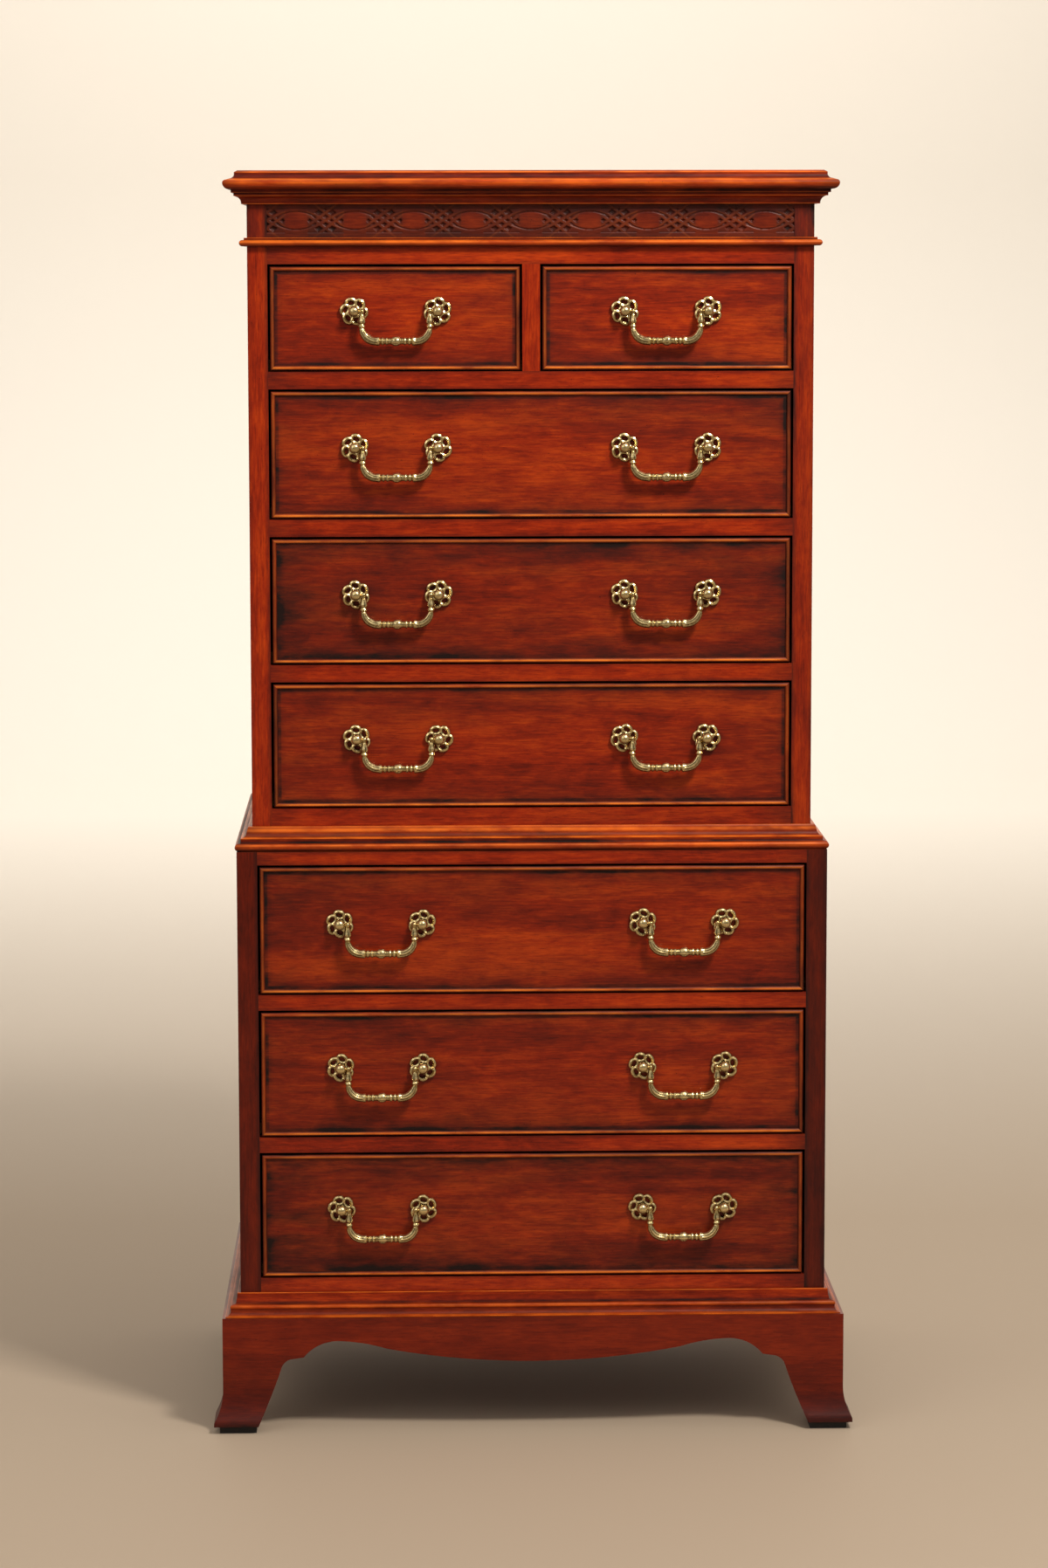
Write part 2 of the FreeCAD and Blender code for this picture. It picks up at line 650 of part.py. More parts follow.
def make_post(side, x, bore_start):
    """Post with its pin bore, and the nut behind the drawer front."""
    collar = "Sizes.rosette_thickness + Sizes.collar_depth"
    shank = "Sizes.pull_standoff + Places.front_board + Sizes.nut_depth + Sizes.shank_end"
    solid = fused(f"post_solid_{side}", [
        ball(f"post_ball_{side}", "Sizes.post_ball", x, "-Sizes.pull_standoff"),
        rod(f"post_shank_{side}", "Sizes.post_shank", shank, x, "-Sizes.pull_standoff",
            rotation=TO_BACK),
        rod(f"post_collar_{side}", "Sizes.post_collar", "Sizes.collar_depth", x, f"-({collar})",
            rotation=TO_BACK),
    ])
    bore = rod(f"pin_bore_{side}", "Sizes.bail_pin + Sizes.pin_clearance",
               "Sizes.cut_overrun + Sizes.pin_depth + Sizes.pin_end_gap", bore_start,
               "-Sizes.pull_standoff", rotation=ALONG_X)
    blank = doc.addObject("Part::Prism", f"nut_blank_{side}")
    blank.Polygon = NUT_SIDES
    blank.setExpression("Circumradius", "Sizes.nut_radius")
    blank.setExpression("Height", "Sizes.nut_depth")
    put(blank, x, "Places.front_board", rotation=TO_BACK)
    thread = rod(f"nut_thread_{side}", "Sizes.post_shank", "Sizes.nut_depth", x,
                 "Places.front_board", rotation=TO_BACK)
    return [cut(f"post_{side}", solid, bore), cut(f"nut_{side}", blank, thread)]


def make_fixings():
    """Rosettes, posts and nuts of one pull."""
    rosette = make_rosette()
    inner = "Places.post_side - Sizes.post_ball"
    parts = make_post("right", "Places.post_side", f"{inner} - Sizes.cut_overrun")
    parts += make_post("left", "-Places.post_side",
                       f"-({inner} + Sizes.pin_depth + Sizes.pin_end_gap)")
    for side, x in (("right", "Places.post_side"), ("left", "-Places.post_side")):
        parts.append(put(group(f"rosette_{side}", [rosette]), x))
    return group("pull_fixings", parts)


def make_post_holes():
    """Bores for the two posts through the drawer front."""
    return group("post_holes", [
        rod(f"post_hole_{side}", "Sizes.post_shank + Sizes.shank_clearance",
            "Places.front_board + 2 * Sizes.cut_overrun", x, "-Sizes.cut_overrun", rotation=TO_BACK)
        for side, x in (("right", "Places.post_side"), ("left", "-Places.post_side"))])


def make_bail():
    """Swan-neck bail with pins, cuffs, knops and a ball at the middle of its bar."""
    y = "-Sizes.pull_standoff"
    low = "-Sizes.bail_drop"
    bend_x = "Places.bail_side - Sizes.bail_bend"
    bend_z = "Sizes.bail_bend - Sizes.bail_drop"
    pin_end = "Places.post_side - Sizes.post_ball + Sizes.pin_depth"
    leaf_end = "Sizes.leaf_start + Sizes.leaf_length"
    parts = [
        rod("bail_bar", "Sizes.bail_rod", f"2 * ({bend_x})", f"-({bend_x})", y, low, ALONG_X),
        ball("bail_ball", "Sizes.bail_ball", "0", y, low, ALONG_X),
        cone("leaf_right", "Sizes.leaf_radius", "Sizes.bail_rod", "Sizes.leaf_length",
             "Sizes.leaf_start", y, low, ALONG_X),
        cone("leaf_left", "Sizes.bail_rod", "Sizes.leaf_radius", "Sizes.leaf_length",
             f"-({leaf_end})", y, low, ALONG_X),
    ]
    for side, sign, pin_start, turn in (("right", "", "Places.bail_side", TO_BACK),
                                        ("left", "-", f"-({pin_end})", FALL_RIGHT)):
        x = f"{sign}Places.bail_side"
        bend = doc.addObject("Part::Torus", f"bend_{side}")
        bend.setExpression("Radius1", "Sizes.bail_bend")
        bend.setExpression("Radius2", "Sizes.bail_rod")
        bend.Angle3 = 90
        parts += [
            put(bend, f"{sign}({bend_x})", y, bend_z, turn),
            rod(f"neck_{side}", "Sizes.bail_neck", f"-({bend_z})", x, y, bend_z),
            ball(f"knop_{side}", "Sizes.bail_knop", x, y, "-Sizes.knop_drop"),
            cone(f"cuff_{side}", "Sizes.bail_cuff", "Sizes.bail_neck", "Sizes.cuff_length",
                 x, y, "-Sizes.cuff_start - Sizes.cuff_length"),
            ball(f"knuckle_{side}", "Sizes.bail_knuckle", x, y),
            rod(f"pin_{side}", "Sizes.bail_pin", f"{pin_end} - Places.bail_side", pin_start, y,
                rotation=ALONG_X),
        ]
    return fused("bail", parts)


# Drawers
def add_bead(name, left, right, low, high, face):
    """Bead of four mitred strips round the edge of a drawer front."""
    strips = []
    for side, length, x, z, rotation in (
            ("top", f"({right}) - ({left})", left, high, TO_BACK),
            ("right", f"({high}) - ({low})", right, high, FALL_RIGHT),
            ("bottom", f"({right}) - ({left})", right, low, FACE_LEFT),
            ("left", f"({high}) - ({low})", left, low, RISE_LEFT)):
        strip = doc.addObject("Part::Wedge", f"{name}_{side}")
        for prop, value in (("Xmin", "0"), ("Xmax", length), ("X2min", "Sizes.bead_width"),
                            ("X2max", f"{length} - Sizes.bead_width"), ("Ymin", "0"),
                            ("Ymax", "Sizes.bead_width"), ("Zmin", "0"), ("Z2min", "0"),
                            ("Zmax", "Sizes.bead_depth"), ("Z2max", "Sizes.bead_depth")):
            strip.setExpression(prop, value)
        strips.append(put(strip, x, f"{face} - Sizes.bead_proud", z, rotation))
    return keep(name, group(name, strips))


def add_drawer(name, case, row, left, right, pulls, fixings, holes, bail):
    """One drawer with its bead, box and pulls, in the opening between two places."""
    face = f"Places.{case}_front"
    low = f"Places.row_{row}_low + Sizes.drawer_foot_gap"
    high = f"Places.row_{row}_high - Sizes.drawer_gap"
    panel = f"{face} + Sizes.panel_recess"
    rebate = f"{face} - Sizes.bead_proud + Sizes.bead_depth"
    back_of_front = f"{face} + Sizes.frame_depth"
    pull_z = (f"(Places.row_{row}_low + Places.row_{row}_high) / 2 + Sizes.pull_rise")
    blank = fused(f"{name}_blank", [
        board(f"{name}_plate", (left, right), (rebate, back_of_front), (low, high)),
        board(f"{name}_panel",
              (f"{left} + Sizes.bead_width", f"{right} - Sizes.bead_width"),
              (panel, back_of_front),
              (f"{low} + Sizes.bead_width", f"{high} - Sizes.bead_width"))])
    bores = group(f"{name}_bores", [
        put(group(f"{name}_bore_{index}", [holes]), x, panel, pull_z)
        for index, x in enumerate(pulls, start=1)])
    keep(f"{name}_front", cut(f"{name}_front", blank, bores))
    add_bead(f"{name}_cockbead", left, right, low, high, face)

    floor = f"Places.row_{row}_low"
    side_top = f"Places.row_{row}_high - Sizes.side_top_gap"
    base = f"{floor} + Sizes.bottom_rise"
    run = (back_of_front, "Places.inner_back - Sizes.rear_gap")
    within = (f"{left} + Sizes.drawer_side", f"{right} - Sizes.drawer_side")
    keep(f"{name}_box", group(f"{name}_box", [
        board(f"{name}_left_side", (left, within[0]), run, (floor, side_top)),
        board(f"{name}_right_side", (within[1], right), run, (floor, side_top)),
        board(f"{name}_bottom", within, run, (base, f"{base} + Sizes.drawer_bottom")),
        board(f"{name}_back", within, (f"{run[1]} - Sizes.drawer_back", run[1]),
              (f"{base} + Sizes.drawer_bottom", side_top))]))
    keep(f"{name}_pull_plates", group(f"{name}_pull_plates", [
        put(group(f"{name}_fixings_{index}", [fixings]), x, panel, pull_z)
        for index, x in enumerate(pulls, start=1)]))
    labels = ("bail",) if len(pulls) == 1 else ("left_bail", "right_bail")
    for label, x in zip(labels, pulls):
        keep(f"{name}_{label}", put(group(f"{name}_{label}", [bail]), x, panel, pull_z))


def add_drawers():
    """Every drawer, from the top row down."""
    fixings = make_fixings()
    holes = make_post_holes()
    bail = make_bail()
    upper_edge = "Places.upper_opening - Sizes.drawer_gap"
    inner_edge = "Sizes.mullion / 2 + Sizes.drawer_gap"
    top_row = UPPER_ROWS[0]
    for name, left, right, x in (
            ("top_left_drawer", f"-({upper_edge})", f"-({inner_edge})", "-Sizes.upper_pull_place"),
            ("top_right_drawer", inner_edge, upper_edge, "Sizes.upper_pull_place")):
        add_drawer(name, "upper", top_row, left, right, (x,), fixings, holes, bail)
    for case, rows in (("upper", UPPER_ROWS[1:]), ("lower", LOWER_ROWS)):
        edge = f"Places.{case}_opening - Sizes.drawer_gap"
        reach = f"Sizes.{case}_pull_place"
        for index, row in enumerate(rows, start=1):
            add_drawer(f"{case}_drawer_{index}", case, row, f"-({edge})", edge,
                       (f"-{reach}", reach), fixings, holes, bail)


def write_parts():
    """Check every object, then write each sub-part to its own file."""
    doc.recompute()
    faults = [item.Name for item in doc.Objects if {"Invalid", "Error"} & set(item.State)]
    for item in nodes:
        if item.Shape.isNull() or not item.Shape.isValid() or not item.Shape.Solids:
            faults.append(item.Label)
    if faults:
        raise RuntimeError("failed objects: " + ", ".join(faults))
    os.makedirs("parts", exist_ok=True)
    for item in nodes:
        solids = item.Shape.Solids
        shape = solids[0] if len(solids) == 1 else Part.makeCompound(solids)
        shape.exportStep(f"parts/{item.Label}.step")
        print(item.Label, len(solids), round(shape.Volume / 1000, 1))
    box = Part.makeCompound([item.Shape for item in nodes]).BoundBox
    print("sub-parts", len(nodes), "size", round(box.XLength, 1), round(box.YLength, 1),
          round(box.ZLength, 1), "centre", round(box.Center.x, 3), round(box.Center.y, 3))


add_plinth()
add_moulding("base_moulding", BASE_SHARES, "base", "Places.lower_half", "Places.lower_front",
             "Sizes.plinth_height")
add_cases()
add_face_frame("lower_face_frame", LOWER_ROWS, "lower", "Sizes.plinth_height", "Places.lower_top", (
    ("bottom", "Sizes.plinth_height", f"Places.row_{LOWER_ROWS[-1]}_low"),
    ("top", f"Places.row_{LOWER_ROWS[0]}_high", "Places.lower_top")))
add_face_frame("upper_face_frame", UPPER_ROWS, "upper", "Places.lower_top", "Places.upper_top", (
    ("bottom", "Places.lower_top", f"Places.row_{UPPER_ROWS[-1]}_low"),
    ("top", f"Places.row_{UPPER_ROWS[0]}_high", "Places.frieze_low")))
add_runners()
add_moulding("waist_moulding", WAIST_SHARES, "waist", "Places.upper_half", "Places.upper_front",
             "Places.lower_top")
keep("frieze_panel", board(
    "frieze_panel", ("-Places.upper_opening", "Places.upper_opening"),
    ("Places.upper_front", "Places.upper_front + Sizes.frieze_board"),
    ("Places.frieze_low", "Places.upper_top")))
add_moulding("astragal", ASTRAGAL_SHARES, "astragal", "Places.upper_half", "Places.upper_front",
             "Places.frieze_low")
add_moulding("cornice", CORNICE_SHARES, "cornice", "Places.upper_half", "Places.upper_front",
             "Places.total_height - Sizes.cornice_height")
add_drawers()
write_parts()
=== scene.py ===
"""Looks of a mahogany chest-on-chest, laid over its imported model.

Sizes in the classes are millimetres, and meshes are written in metres. +Z is up, the
drawers face -Y, and the grain of each board is kept as a place along and across it.
"""

import logging
import math
from collections.abc import Callable, Sequence
from dataclasses import dataclass, field
from enum import Enum

import bmesh
import bpy
import numpy as np
from mathutils import Matrix, Vector


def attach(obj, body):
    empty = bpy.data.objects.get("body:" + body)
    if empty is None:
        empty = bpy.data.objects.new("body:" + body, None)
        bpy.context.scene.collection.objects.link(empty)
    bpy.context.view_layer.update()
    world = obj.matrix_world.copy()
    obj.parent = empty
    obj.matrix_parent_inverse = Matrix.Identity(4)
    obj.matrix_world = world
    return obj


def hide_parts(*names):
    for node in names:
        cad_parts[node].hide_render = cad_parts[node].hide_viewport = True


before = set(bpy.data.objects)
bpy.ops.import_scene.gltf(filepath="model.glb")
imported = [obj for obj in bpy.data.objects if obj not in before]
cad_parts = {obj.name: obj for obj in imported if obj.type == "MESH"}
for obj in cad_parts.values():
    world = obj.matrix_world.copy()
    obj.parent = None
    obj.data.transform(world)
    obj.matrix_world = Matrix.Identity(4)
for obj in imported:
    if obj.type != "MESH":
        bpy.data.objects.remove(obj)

MM = 0.001
LOG = logging.getLogger("chest")
CHANCE = np.random.default_rng(617)
Point = tuple[float, float, float]
Span = tuple[float, float]
Face = tuple[int, ...]
TREE = 4000
SAME_PLACE = 0.0005
SAME_EDGE = 0.01
SMOOTH_BELOW = math.radians(38)


class Way(Enum):
    """Direction in which the grain of a board runs."""

    ACROSS = (0, 1, 2)
    INWARD = (1, 0, 2)
    UPRIGHT = (2, 0, 1)


# ---------------------------------------------------------------- surfaces


@dataclass
class Skin:
    """A surface in numbers, with how worn and how glazed each of its points is, painted highlights
    and painted shade included.
    """

    points: np.ndarray
    faces: list[Face]
    wear_and_highlight: np.ndarray
    glaze: np.ndarray
    grain: np.ndarray

    @classmethod
    def of(cls, points: np.ndarray, faces: list[Face], wear_and_highlight: np.ndarray | None = None,
           glaze: np.ndarray | None = None) -> "Skin":
        """Make a skin from points and faces.

        Args:
            points: Places in millimetres, one row each.
            faces: Corners of each face, as rows of points.
            wear_and_highlight: How far each point is worn, with its painted highlight, from 0 to 1.
            glaze: How dark each point is glazed, with its painted shade, from 0 to 1.

        Returns:
            The skin, with its grain along X.
        """
        points = np.asarray(points, float).reshape(-1, 3)
        none = np.zeros(len(points))
        return cls(points, faces, none if wear_and_highlight is None else np.asarray(wear_and_highlight, float).ravel(),
                   none.copy() if glaze is None else np.asarray(glaze, float).ravel(),
                   points.copy())

    @classmethod
    def joined(cls, skins: Sequence["Skin"]) -> "Skin":
        """Put several skins into one, each still closed by itself."""
        faces, start = [], 0
        for skin in skins:
            faces += [tuple(start + corner for corner in face) for face in skin.faces]
            start += len(skin.points)
        return cls(np.vstack([s.points for s in skins]), faces,
                   np.concatenate([s.wear_and_highlight for s in skins]),
                   np.concatenate([s.glaze for s in skins]),
                   np.vstack([s.grain for s in skins]))

    @classmethod
    def read(cls, mesh: bpy.types.Mesh) -> "Skin":
        """Read a baked mesh back into numbers."""
        count = len(mesh.vertices)
        points = np.empty(count * 3)
        mesh.vertices.foreach_get("co", points)
        values = {}
        for name in ("wear_and_highlight", "glaze"):
            values[name] = np.zeros(count)
            if name in mesh.attributes:
                mesh.attributes[name].data.foreach_get("value", values[name])
        return cls.of(points.reshape(-1, 3) / MM, [tuple(p.vertices) for p in mesh.polygons],
                      values["wear_and_highlight"], values["glaze"])

    def moved(self, matrix: Matrix) -> "Skin":
        """Move the points by a matrix in millimetres, and leave the grain as it was."""
        turn = np.array(matrix.to_3x3())
        points = self.points @ turn.T + np.array(matrix.translation)
        faces = self.faces
        if np.linalg.det(turn) < 0:
            faces = [tuple(reversed(face)) for face in faces]
        return Skin(points, faces, self.wear_and_highlight.copy(), self.glaze.copy(), self.grain.copy())

    def grained(self, way: Way) -> "Skin":
        """Lay the grain along one axis, from a random place in the tree."""
        self.grain = self.points[:, way.value] + CHANCE.uniform(-TREE, TREE, 3)
        return self

    def toned(self, rule: Callable[[np.ndarray], np.ndarray]) -> "Skin":
        """Darken each point by a rule on its place, as glazing and painted shade, where that is
        darker than before.
        """
        self.glaze = np.maximum(self.glaze, np.clip(rule(self.points), 0, 1))
        return self

    def loaded(self) -> tuple[bmesh.types.BMesh, object]:
        """Put the skin into a mesh to be worked, whose points know their own number."""
        work = bmesh.new()
        tag = work.verts.layers.int.new("tag")
        corners = []
        for index, point in enumerate(self.points):
            corner = work.verts.new(point)
            corner[tag] = index
            corners.append(corner)
        for face in self.faces:
            if len(set(face)) > 2:
                work.faces.new([corners[index] for index in face])
        return work, tag

    def closed(self) -> "Skin":
        """Join doubled points and turn every face outward."""
        work, tag = self.loaded()
        bmesh.ops.remove_doubles(work, verts=work.verts, dist=SAME_PLACE)
        bmesh.ops.recalc_face_normals(work, faces=work.faces)
        return self.taken(work, tag)

    def backed(self, y: float) -> "Skin":
        """Carry the rim of an open sheet back to a plane, and close it there."""
        work, tag = self.loaded()
        bmesh.ops.remove_doubles(work, verts=work.verts, dist=SAME_EDGE)
        rim = [edge for edge in work.edges if edge.is_boundary]
        made = bmesh.ops.extrude_edge_only(work, edges=rim)["geom"]
        for part in made:
            if isinstance(part, bmesh.types.BMVert):
                part.co.y = y
        bmesh.ops.edgeloop_fill(work, edges=[
            part for part in made if isinstance(part, bmesh.types.BMEdge) and part.is_boundary])
        bmesh.ops.recalc_face_normals(work, faces=work.faces)
        return self.taken(work, tag)

    def taken(self, work: bmesh.types.BMesh, tag: object) -> "Skin":
        """Read a worked mesh whose points know which of these they came from."""
        work.verts.index_update()
        source = np.array([vert[tag] for vert in work.verts], int)
        points = np.array([vert.co[:] for vert in work.verts])
        faces = [tuple(vert.index for vert in face.verts) for face in work.faces]
        work.free()
        return Skin(points, faces, self.wear_and_highlight[source], self.glaze[source], self.grain[source])

    def mesh(self, name: str) -> bpy.types.Mesh:
        """Write the skin as a mesh in metres.

        Args:
            name: Name of the mesh.

        Returns:
            The mesh, smooth except at its sharp edges.
        """
        mesh = bpy.data.meshes.new(name)
        mesh.from_pydata((self.points * MM).tolist(), [], self.faces)
        # The worn values carry painted highlights too, and the dark values carry painted shade.
        for label, values in (("wear_and_highlight", self.wear_and_highlight), ("glaze", self.glaze)):
            mesh.attributes.new(label, "FLOAT", "POINT").data.foreach_set("value", values)
        grain = mesh.attributes.new("grain", "FLOAT_VECTOR", "POINT")
        grain.data.foreach_set("vector", (self.grain * MM).ravel())
        mesh.validate()
        mesh.shade_smooth()
        mesh.set_sharp_from_angle(angle=SMOOTH_BELOW)
        return mesh


def lattice(rows: int, columns: int, around: bool = False) -> list[Face]:
    """Faces of a grid of points, closed across its columns where it goes around."""
    last = columns if around else columns - 1
    return [(r * columns + c, r * columns + (c + 1) % columns,
             (r + 1) * columns + (c + 1) % columns, (r + 1) * columns + c)
            for r in range(rows - 1) for c in range(last)]


def tube(rings: np.ndarray, wear_and_highlight: np.ndarray | None = None,
         glaze: np.ndarray | None = None) -> Skin:
    """Close a stack of rings with a face at each end.

    Args:
        rings: Places, as rings by points by 3.
        wear_and_highlight: How worn each point is, with its painted highlight.
        glaze: How dark each point is glazed, with its painted shade.

    Returns:
        The closed skin.
    """
    count, size = rings.shape[:2]
    faces = lattice(count, size, around=True)
    faces += [tuple(reversed(range(size))), tuple((count - 1) * size + c for c in range(size))]
    return Skin.of(rings.reshape(-1, 3), faces, wear_and_highlight, glaze)


def slab(front: np.ndarray, back: np.ndarray, glaze: np.ndarray | None = None) -> Skin:
    """Close two facing grids of the same size with their four edges."""
    rows, columns = front.shape[:2]
    start = rows * columns
    faces = lattice(rows, columns)
    faces += [tuple(start + corner for corner in reversed(face)) for face in faces]
    edge = [r * columns for r in range(rows)]
    edge += [(rows - 1) * columns + c for c in range(1, columns)]
    edge += [r * columns + columns - 1 for r in range(rows - 2, -1, -1)]
    edge += list(range(columns - 2, 0, -1))
    faces += [(a, b, start + b, start + a) for a, b in zip(edge, edge[1:] + edge[:1])]
    both = None if glaze is None else np.concatenate([glaze.ravel(), glaze.ravel() * 0])
    return Skin.of(np.vstack([front.reshape(-1, 3), back.reshape(-1, 3)]), faces, None, both)


def lathe(profile: Sequence[Span], segments: int,
          glaze: Sequence[float] | None = None) -> Skin:
    """Turn a profile of radius and place about the Y axis."""
    turns = np.linspace(0, math.tau, segments, endpoint=False)
    spots = np.array(profile, float)
    rings = np.empty((len(spots), segments, 3))
    rings[:, :, 0] = spots[:, :1] * np.cos(turns)
    rings[:, :, 1] = spots[:, 1:]
    rings[:, :, 2] = spots[:, :1] * np.sin(turns)
    shade = None if glaze is None else np.repeat(np.array(glaze, float), segments)
    return tube(rings, None, shade).closed()


def worked_edges(skin: Skin, width: float, angle: float = 35) -> Skin:
    """Round the sharp edges of a skin a little, and mark them as worn.

    Args:
        skin: A closed skin.
        width: Width of the rounding in millimetres.
        angle: Least angle between faces that counts as sharp, in degrees.

    Returns:
        The rounded skin.
    """
    work, tag = skin.loaded()
    limit = math.radians(angle)
    sharp = [edge for edge in work.edges
             if len(edge.link_faces) == 2 and edge.calc_face_angle(0) > limit]
    made = bmesh.ops.bevel(work, geom=sharp, offset=width, segments=2, profile=0.5,
                           affect="EDGES", clamp_overlap=True)
    fresh = set(made["faces"])
    work.verts.index_update()
    rubbed = [vert.index for vert in made["verts"]
              if vert.is_valid and all(face in fresh for face in vert.link_faces)]
    for vert in work.verts:
        if not 0 <= vert[tag] < len(skin.points):
            vert[tag] = 0
    rounded = skin.taken(work, tag)
    rounded.wear_and_highlight[rubbed] = 1
    return rounded


def board(x: Span, y: Span, z: Span, way: Way, bevel: float = 0.5,
          cuts: dict[int, Sequence[float]] | None = None) -> Skin:
    """Board between pairs of places, with softened edges.

    Args:
        x: Left and right.
        y: Front and back.
        z: Bottom and top.
        way: Direction of the grain.
        bevel: Width of its rounded edges.
        cuts: Places along each axis where the surface is divided, for its shading.

    Returns:
        The closed board.
    """
    work = bmesh.new()
    tag = work.verts.layers.int.new("tag")
    bmesh.ops.create_cube(work, size=1)
    spans = (x, y, z)
    for vert in work.verts:
        vert.co = [low + (high - low) * (part + 0.5) for part, (low, high) in zip(vert.co, spans)]
    for axis, marks in (cuts or {}).items():
        normal = [float(axis == index) for index in range(3)]
        for mark in marks:
            if spans[axis][0] < mark < spans[axis][1]:
                bmesh.ops.bisect_plane(
                    work, geom=work.verts[:] + work.edges[:] + work.faces[:],
                    plane_co=[mark * part for part in normal], plane_no=normal)
    work.verts.index_update()
    for vert in work.verts:
        vert[tag] = vert.index
    blank = Skin.of(np.array([v.co[:] for v in work.verts]),
                    [tuple(v.index for v in face.verts) for face in work.faces])
    work.free()
    return worked_edges(blank, bevel, 60).grained(way)


def near(places: np.ndarray, edges: Sequence[float], reach: float) -> np.ndarray:
    """How near each place is to the nearest of some edges, 1 on it and 0 past the reach."""
    gap = np.min([np.abs(places - edge) for edge in edges], axis=0)
    return np.clip(1 - gap / reach, 0, 1)


def insets(span: Span, steps: Sequence[float]) -> list[float]:
    """Places at given distances inside both ends of a span."""
    return [span[0] + step for step in steps] + [span[1] - step for step in steps]


def arc(start: Span, middle: Span, end: Span, count: int) -> list[Span]:
    """Places along the arc through three points, after the first."""
    (ax, ay), (bx, by), (cx, cy) = start, middle, end
    spread = 2 * (ax * (by - cy) + bx * (cy - ay) + cx * (ay - by))
    if abs(spread) < 1e-9:
        return [middle, end]
    sa, sb, sc = ax * ax + ay * ay, bx * bx + by * by, cx * cx + cy * cy
    ux = (sa * (by - cy) + sb * (cy - ay) + sc * (ay - by)) / spread
    uy = (sa * (cx - bx) + sb * (ax - cx) + sc * (bx - ax)) / spread
    radius = math.hypot(ax - ux, ay - uy)
    first, mid, last = (math.atan2(q - uy, p - ux) for p, q in (start, middle, end))
    while mid < first:
        mid += math.tau
    while last < first:
        last += math.tau
    if mid > last:
        last -= math.tau
    return [(ux + radius * math.cos(a), uy + radius * math.sin(a))
            for a in np.linspace(first, last, count + 1)[1:]]


@dataclass(frozen=True)
class Outline:
    """Section of a moulding, from its foot outward and up, in shares of its size."""

    reach: float
    height: float
    shares: tuple[tuple[str, float, float], ...]
    # Painted shade (shade) and painted highlight (lit) by share of the height, laid into the dark
    # and the worn values.
    shade: tuple[Span, ...] = ((0, 0), (1, 0))
    lit: tuple[Span, ...] = ((0, 0), (1, 0))
    step: float = 0.45
    window: float = 0.9
    wide_window: float = 4
    sharp_hollow: float = 0.75
    wide_hollow: float = 1.1
    sharp_ridge: float = 0.85
    clean_ridge: float = 0.6
    arc_steps: int = 16
    fewest: int = 8

    def corners(self) -> list[Span]:
        """Points of the outline with its arcs divided."""
        spots = [(kind, self.reach * p, self.height * q) for kind, p, q in self.shares]
        line: list[Span] = [spots[0][1:]]
        for index, (kind, p, q) in enumerate(spots[1:], start=1):
            if kind == "by":
                continue
            before = spots[index - 1]
            if before[0] == "by":
                line += arc(line[-1], before[1:], (p, q), self.arc_steps)
            else:
                line.append((p, q))
        return line

    def traced(self) -> tuple[np.ndarray, np.ndarray, np.ndarray]:
        """Evenly spaced points along the outline.

        Returns:
            The points, how worn each is with its painted highlight, and how dark it is glazed in a
            hollow with its painted shade.
        """
        line = np.array(self.corners())
        gaps = np.hypot(*np.diff(line, axis=0).T)
        run = np.concatenate([[0], np.cumsum(gaps)])
        marks = np.linspace(0, run[-1], max(int(run[-1] / self.step), self.fewest))

        def at(where: np.ndarray) -> np.ndarray:
            """Points at distances along the outline."""
            where = np.clip(where, 0, run[-1])
            return np.stack([np.interp(where, run, line[:, 0]),
                             np.interp(where, run, line[:, 1])], axis=1)

        spots, turns = at(marks), []
        for window in (self.window, self.wide_window * self.window):
            ahead = at(marks + window) - spots
            behind = spots - at(marks - window)
            turns.append(np.arctan2(behind[:, 0] * ahead[:, 1] - behind[:, 1] * ahead[:, 0],
                                    (behind * ahead).sum(axis=1)))
        up = spots[:, 1] / self.height
        # zone is painted shade by height; lit below is painted highlight by height.
        zone = np.interp(up, *zip(*self.shade))
        hollow = np.clip(np.max([-turns[0] / self.sharp_hollow, -turns[1] / self.wide_hollow,
                                 zone], axis=0), 0, 1)
        ridge = np.maximum(turns[0] / self.sharp_ridge * (1 - 0.7 * zone),
                           np.interp(up, *zip(*self.lit)))
        bare = np.clip(turns[0] / self.clean_ridge, 0, 1) * (1 - 0.6 * zone)
        return spots, np.clip(ridge, 0, 1), hollow * (1 - 0.75 * bare)


RUN_SHARES = (0, 0.03, 0.1, 0.25, 0.5, 0.75, 0.9, 0.97, 1)
MITRE_GAP = 0.06
END_GLAZE = 0.35


def run_of(outline: Outline, span: Span, lean: Span, place: Matrix, way: Way,
           hollow: float = 1, bright: float = 1) -> Skin:
    """Length of a moulding, whose ends lean with its mitres.

    Args:
        outline: Its section.
        span: Start and end where the section meets the case.
        lean: 1 where an end runs on by the reach of the section, -1 where it falls
            short by it, and 0 where it is square.
        place: Own length, reach and height laid into the frame.
        way: Direction of the grain.
        hollow: How dark its glazed hollows and its painted shade are.
        bright: How strong its worn ridges and its painted highlights are.

    Returns:
        The closed length.
    """
    spots, wear_and_highlight, glaze = outline.traced()
    parts = np.array(RUN_SHARES)[:, None]
    low = span[0] - lean[0] * spots[:, 0] + MITRE_GAP
    high = span[1] + lean[1] * spots[:, 0] - MITRE_GAP
    rings = np.empty((len(parts), len(spots), 3))
    rings[:, :, 0] = low + (high - low) * parts
    rings[:, :, 1] = spots[:, 0]
    rings[:, :, 2] = spots[:, 1]
    ends = END_GLAZE * (1 - np.minimum(parts, 1 - parts) / RUN_SHARES[1]).clip(0, 1)
    skin = tube(rings, np.tile(wear_and_highlight * bright, (len(parts), 1)),
                np.maximum(np.tile(glaze * hollow, (len(parts), 1)), ends))
    return skin.moved(place).closed().grained(way)


